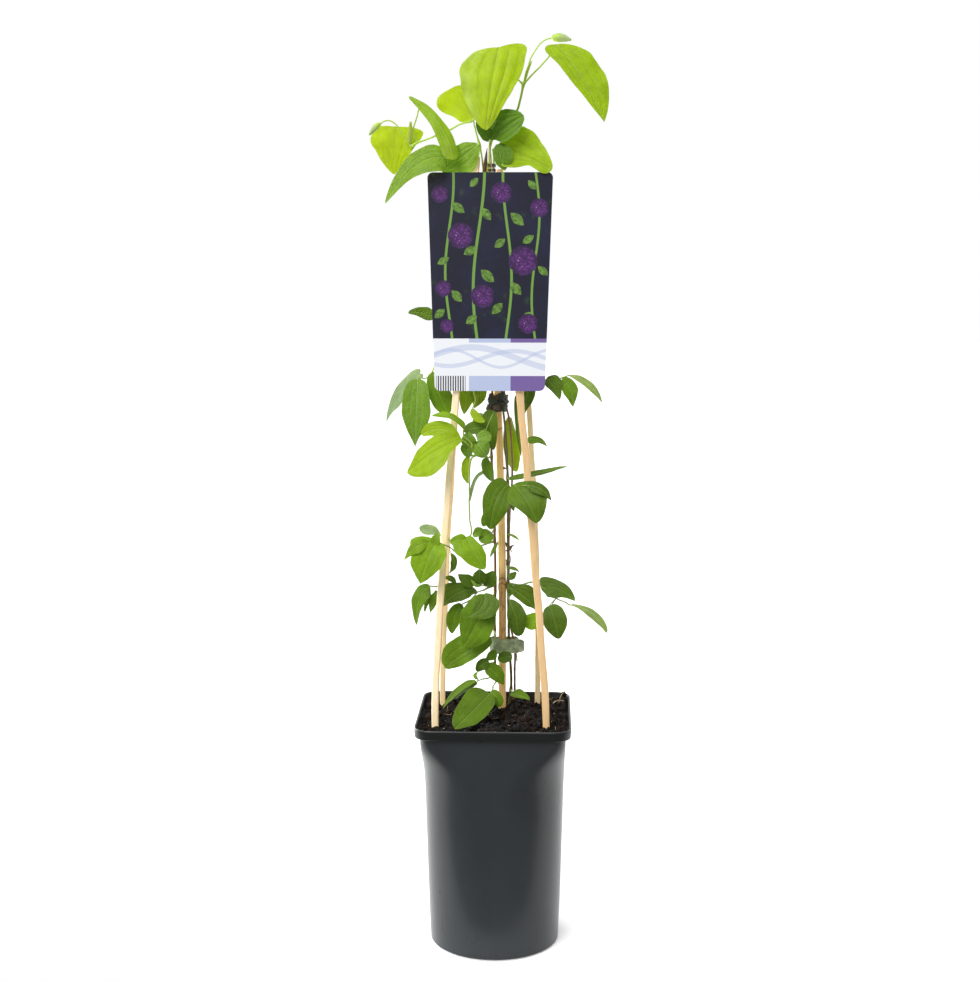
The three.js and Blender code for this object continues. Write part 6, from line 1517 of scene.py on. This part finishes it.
class CLEMATIS_OT_ties(bpy.types.Operator):
    """Tapes that hold the stems and canes together"""

    bl_idname = "clematis.ties"
    bl_label = "Ties"

    def execute(self, context):
        c = context.scene.clematis_canes
        tape = tape_material("Tie tape", c.tape, linear(170, 186, 168), 0.22, 1)
        dark = tape_material("Dark tie", c.band, linear(104, 100, 74), 0.03, 2)
        red = mottled_material("Dry bract", (74, 54, 34), (38, 42, 24), 2.0, 0.6)
        skin = Skin()
        slot_band(skin, (7.6, 17.4, 253.5), 6.3, 5.4, 0.9, 12.5, 51)
        self.tail(skin, [(12, 11.5, 254), (16, 11.2, 254.2), (20, 11, 254.4), (25, 10.6, 254.4)], 11.8, 52)
        stand_in(skin.piece("tie_lower_tape", [tape], 50), "tie_lower")
        skin = Skin()
        for x, z, tall, seed in ((2.6, 464.5, 5.0, 53), (2.2, 460.2, 3.4, 63), (2.8, 468.2, 3.2, 64),
                                 (2.4, 457.4, 2.0, 65)):
            slot_band(skin, (x, 2.9, z), 0.3, 7.2, 0.6, tall, seed, 0, 0.5)
        for row in ("-1.6 -5.4 465.5 4.2 1.9 3.6 54 0", "5.2 -4.9 468.5 3.4 1.8 3.4 55 0",
                    "1.4 -6.0 460.2 3.2 1.5 2.6 56 1", "-4.6 -4.8 459.5 2.4 1.3 2.6 57 1",
                    "2.2 -6.6 468.8 1.8 0.8 2.2 58 1", "7.4 -3.6 462.5 2.4 1.5 3.2 66 0",
                    "-3.2 -6.4 470.4 1.5 0.8 1.7 67 1", "6.6 -5.4 472.2 1.4 0.8 2.2 68 0"):
            *place, seed, kind = fields(row)[0]
            self.lump(skin, place[:3], place[3:], int(seed), int(kind))
        stand_in(skin.piece("tie_middle_knot", [dark, red], 50), "tie_middle")
        skin = Skin()
        # the two narrow dark bands are partly the top tie and partly painted shade for the dark gap between
        # the stems
        slot_band(skin, (-2.3, -6.6, 657.2), 1.5, 1.35, 0.35, 2.2, 59, 0, 0.2)
        slot_band(skin, (-2.3, -6.6, 653.4), 1.5, 1.3, 0.35, 1.6, 62, 0, 0.2)
        t = np.linspace(0, 1, 26)
        for points, size, kind in (("-9.4 -5.6 640, -8.6 -5.8 655, -7.2 -5.6 665, -6 -5.4 671", 1.0, 1),
                                   ("-7.2 -3 640, -7 -3.4 652, -6.8 -3 662, -6.4 -3.6 669", 1.3, 1),
                                   ("-6.2 -5.4 640, -6 -5.6 650, -5.4 -5.8 660", 0.8, 2),
                                   ("-1.4 -8.6 640, -2.2 -8.8 655, -3 -8.4 667, -4.4 -7.6 675", 0.42, 3)):
            skin.tube(run(fields(points), 26), size * (1 - 0.75 * t ** 4), 9, kind,
                      lambda a, row: 1 + 0.12 * np.sin(3 * a + 5 * row), twist=1.5)
        brown = stalk_material("Dry stalk", linear(74, 52, 26), linear(96, 72, 36), 0.6)
        tan = stalk_material("Tan stalk", linear(150, 116, 74), linear(168, 132, 88), 0.55)
        green = stalk_material("Sprout", linear(150, 160, 40), linear(176, 184, 48), 0.5)
        stand_in(skin.piece("tie_top_tape", [dark, brown, green, tan], 50), "tie_top")
        return {"FINISHED"}

    def tail(self, skin, points, height, seed):
        """A loose end of tape: a thin wall along the points, its end torn and its face waved."""
        path = run(points, 26)
        t = np.linspace(0, 1, 26)[:, None]
        z = np.linspace(-0.5, 0.5, 14)[None, :]
        torn = 1 - 0.16 * (t > 0.9) * (1 + np.sin(23 * z + seed))
        tall = height * (1 - 0.12 * t ** 3) * torn
        wave = 0.35 * ripple(np.stack([9 * t + 0 * z, 6 * z + 0 * t, 0 * (t + z)], -1), 4.0, seed)
        faces = [np.stack([path[:, :1] + 0 * z, path[:, 1:2] + thick + wave, path[:, 2:] + z * tall], -1)
                 for thick in (-0.22, 0.12)]
        loop = np.concatenate([faces[0], faces[1][:, ::-1]], 1)
        skin.grid(loop[::-1], wrap=True, caps="ab")

    def lump(self, skin, centre, size, seed, kind):
        """A rounded lump of tape: an ellipsoid pushed in and out by noise, with closed poles."""
        ball = sphere(np.linspace(-1.5, 1.5, 22), turns(36))
        push = 1 + (0.1 * ripple(ball, 1.3, seed) + 0.06 * ripple(ball, 0.55, seed + 1))[..., None]
        skin.grid(ball * push * size + centre, kind, wrap=True, caps="ab")


class CLEMATIS_OT_label(bpy.types.Operator):
    """Printed card in front of the canes, and the loops that hold it"""

    bl_idname = "clematis.label"
    bl_label = "Label"

    def execute(self, context):
        skin = Skin()
        label_card(skin)
        face = print_material("Label print", context.scene.clematis_label)
        back = mottled_material("Label back", (200, 202, 206), (208, 210, 213), 30.0, 0.42, depth=0.0001)
        stand_in(skin.piece("label_printed", [face, back], 40), "label")
        plain = mottled_material("Label loop", (226, 228, 230), (240, 241, 242), 8.0, 0.4, depth=0.0001)
        profile = fields("0.05 0.3, 0 0.8, 0 4.2, 0.05 4.7, 0.35 5, "
                         "0.65 4.7, 0.7 4.2, 0.7 0.8, 0.65 0.3, 0.35 0")
        inward, up = np.array(profile).T[:, :, None]
        angle = turns(64)
        for name, x, y in (("label_loop_left", -20.0, -9.4), ("label_loop_right", 9.4, -9.85)):
            skin = Skin()
            loop = np.stack([x + (4.5 - inward) * np.cos(angle), y + (3.75 - inward) * np.sin(angle),
                             597 + up + 0 * angle], -1)
            skin.grid(loop, wrap=True, closed=True)
            stand_in(skin.piece(name + "_clip", [plain], 50), name)
        return {"FINISHED"}


# the floor's near edge in mm; the camera's place in metres, and how far it looks down and left in radians
FLOOR_START = -100
EYE, EYE_DOWN, EYE_LEFT = (0.0439, -1.329, 0.5705), 0.135, 0.036
WHITE = (1, 1, 1, 1)


class CLEMATIS_OT_stage(bpy.types.Operator):
    """Pale floor, soft lights and the camera"""

    bl_idname = "clematis.stage"
    bl_label = "Stage"

    def execute(self, context):
        stage, scene = context.scene.clematis_studio, context.scene
        skin = Skin()
        size = stage.floor_size / MM
        side, ahead = np.meshgrid(np.linspace(-0.5, 0.5, 9) * size,
                                  np.linspace(FLOOR_START, 0.5 * size, 9))
        skin.grid(np.stack([side, ahead, np.full((9, 9), -0.6)], -1))
        s = Shader("Floor")
        cloud = s.noise((6, 6, 6), 1.0, 2.0)
        paint = s.blend(cloud, stage.floor, tinted(stage.floor, 0.995))
        skin.piece("floor", [s.finish(paint, cloud * 0.05 + 0.85, Specular_IOR_Level=0.1,
                                               Emission_Color=WHITE, Emission_Strength=0.2)])
        w = Shader("Studio", bpy.data.worlds)
        _, ahead, _ = w.axes(w.node("ShaderNodeTexCoord", output="Generated"))
        strength = ahead.fade(-0.3, 0.7, stage.front, stage.surround)
        light = w.node("ShaderNodeBackground", {}, {"Color": WHITE, "Strength": strength})
        seen = w.node("ShaderNodeBackground", {}, {"Color": WHITE})
        ray = w.node("ShaderNodeLightPath", output="Is Camera Ray")
        sky = w.node("ShaderNodeMixShader", {}, [ray, light, seen])
        w.node("ShaderNodeOutputWorld", {}, {"Surface": sky})
        scene.world = w.owner
        key = bpy.data.lights.new("Key", "SUN")
        key.energy, key.angle = stage.key, math.radians(42)
        self.stand(scene, "Key", key, (0, 0, 0), (math.radians(47), 0, math.radians(-30)))
        for name, at, size, power in (("Left strip", (-0.95, 0.7, 0.3), 1.0, 20.0),
                                      ("Right strip", (0.95, 0.8, 0.3), 0.9, 2.0)):
            lamp = bpy.data.lights.new(name, "AREA")
            lamp.shape, lamp.size, lamp.energy = "DISK", size, power
            way = unit(np.array((0, 0, 0.25)) - at)
            self.stand(scene, name, lamp, at, (math.acos(-way[2]), 0, math.atan2(-way[0], way[1])))
        camera = bpy.data.cameras.new("Camera")
        camera.lens, camera.sensor_width, camera.sensor_fit = stage.lens, 36.0, "AUTO"
        camera.clip_start, camera.clip_end = 0.05, 60.0
        scene.camera = self.stand(scene, "Camera", camera, EYE, (math.pi / 2 - EYE_DOWN, 0, EYE_LEFT))
        scene.view_settings.view_transform = "Standard"
        return {"FINISHED"}

    def stand(self, scene, name, data, at, turn):
        """A lamp or the camera, at its place and turned."""
        made = bpy.data.objects.new(name, data)
        scene.collection.objects.link(made)
        made.location, made.rotation_euler = at, turn
        return made


class CLEMATIS_PT_panel(bpy.types.Panel):
    """Lists what can be built"""

    bl_label = "Potted clematis"
    bl_space_type = "VIEW_3D"
    bl_region_type = "UI"
    bl_category = "Clematis"

    def draw(self, context):
        for group, settings in GROUPS.items():
            column = self.layout.column()
            column.label(text=settings.__doc__)
            values = getattr(context.scene, group)
            for key in settings.__annotations__:
                column.prop(values, key)
        for operator in OPERATORS:
            self.layout.operator(operator.bl_idname)


GROUPS = {"clematis_pot": ClematisPot, "clematis_canes": ClematisCanes, "clematis_leaves": ClematisLeaves,
          "clematis_label": ClematisLabel, "clematis_studio": ClematisStudio}
OPERATORS = (CLEMATIS_OT_pot, CLEMATIS_OT_soil, CLEMATIS_OT_canes, CLEMATIS_OT_stems, CLEMATIS_OT_leaves,
             CLEMATIS_OT_ties, CLEMATIS_OT_label, CLEMATIS_OT_stage)


def register():
    for kind in (*GROUPS.values(), *OPERATORS, CLEMATIS_PT_panel):
        bpy.utils.register_class(kind)
    for group, settings in GROUPS.items():
        setattr(bpy.types.Scene, group, PointerProperty(type=settings))


def unregister():
    for group in GROUPS:
        delattr(bpy.types.Scene, group)
    for kind in (CLEMATIS_PT_panel, *reversed(OPERATORS), *reversed(GROUPS.values())):
        bpy.utils.unregister_class(kind)


def main():
    register()
    for operator in OPERATORS:
        group, name = operator.bl_idname.split(".")
        getattr(getattr(bpy.ops, group), name)()
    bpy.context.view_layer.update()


if __name__ == "__main__":
    main()
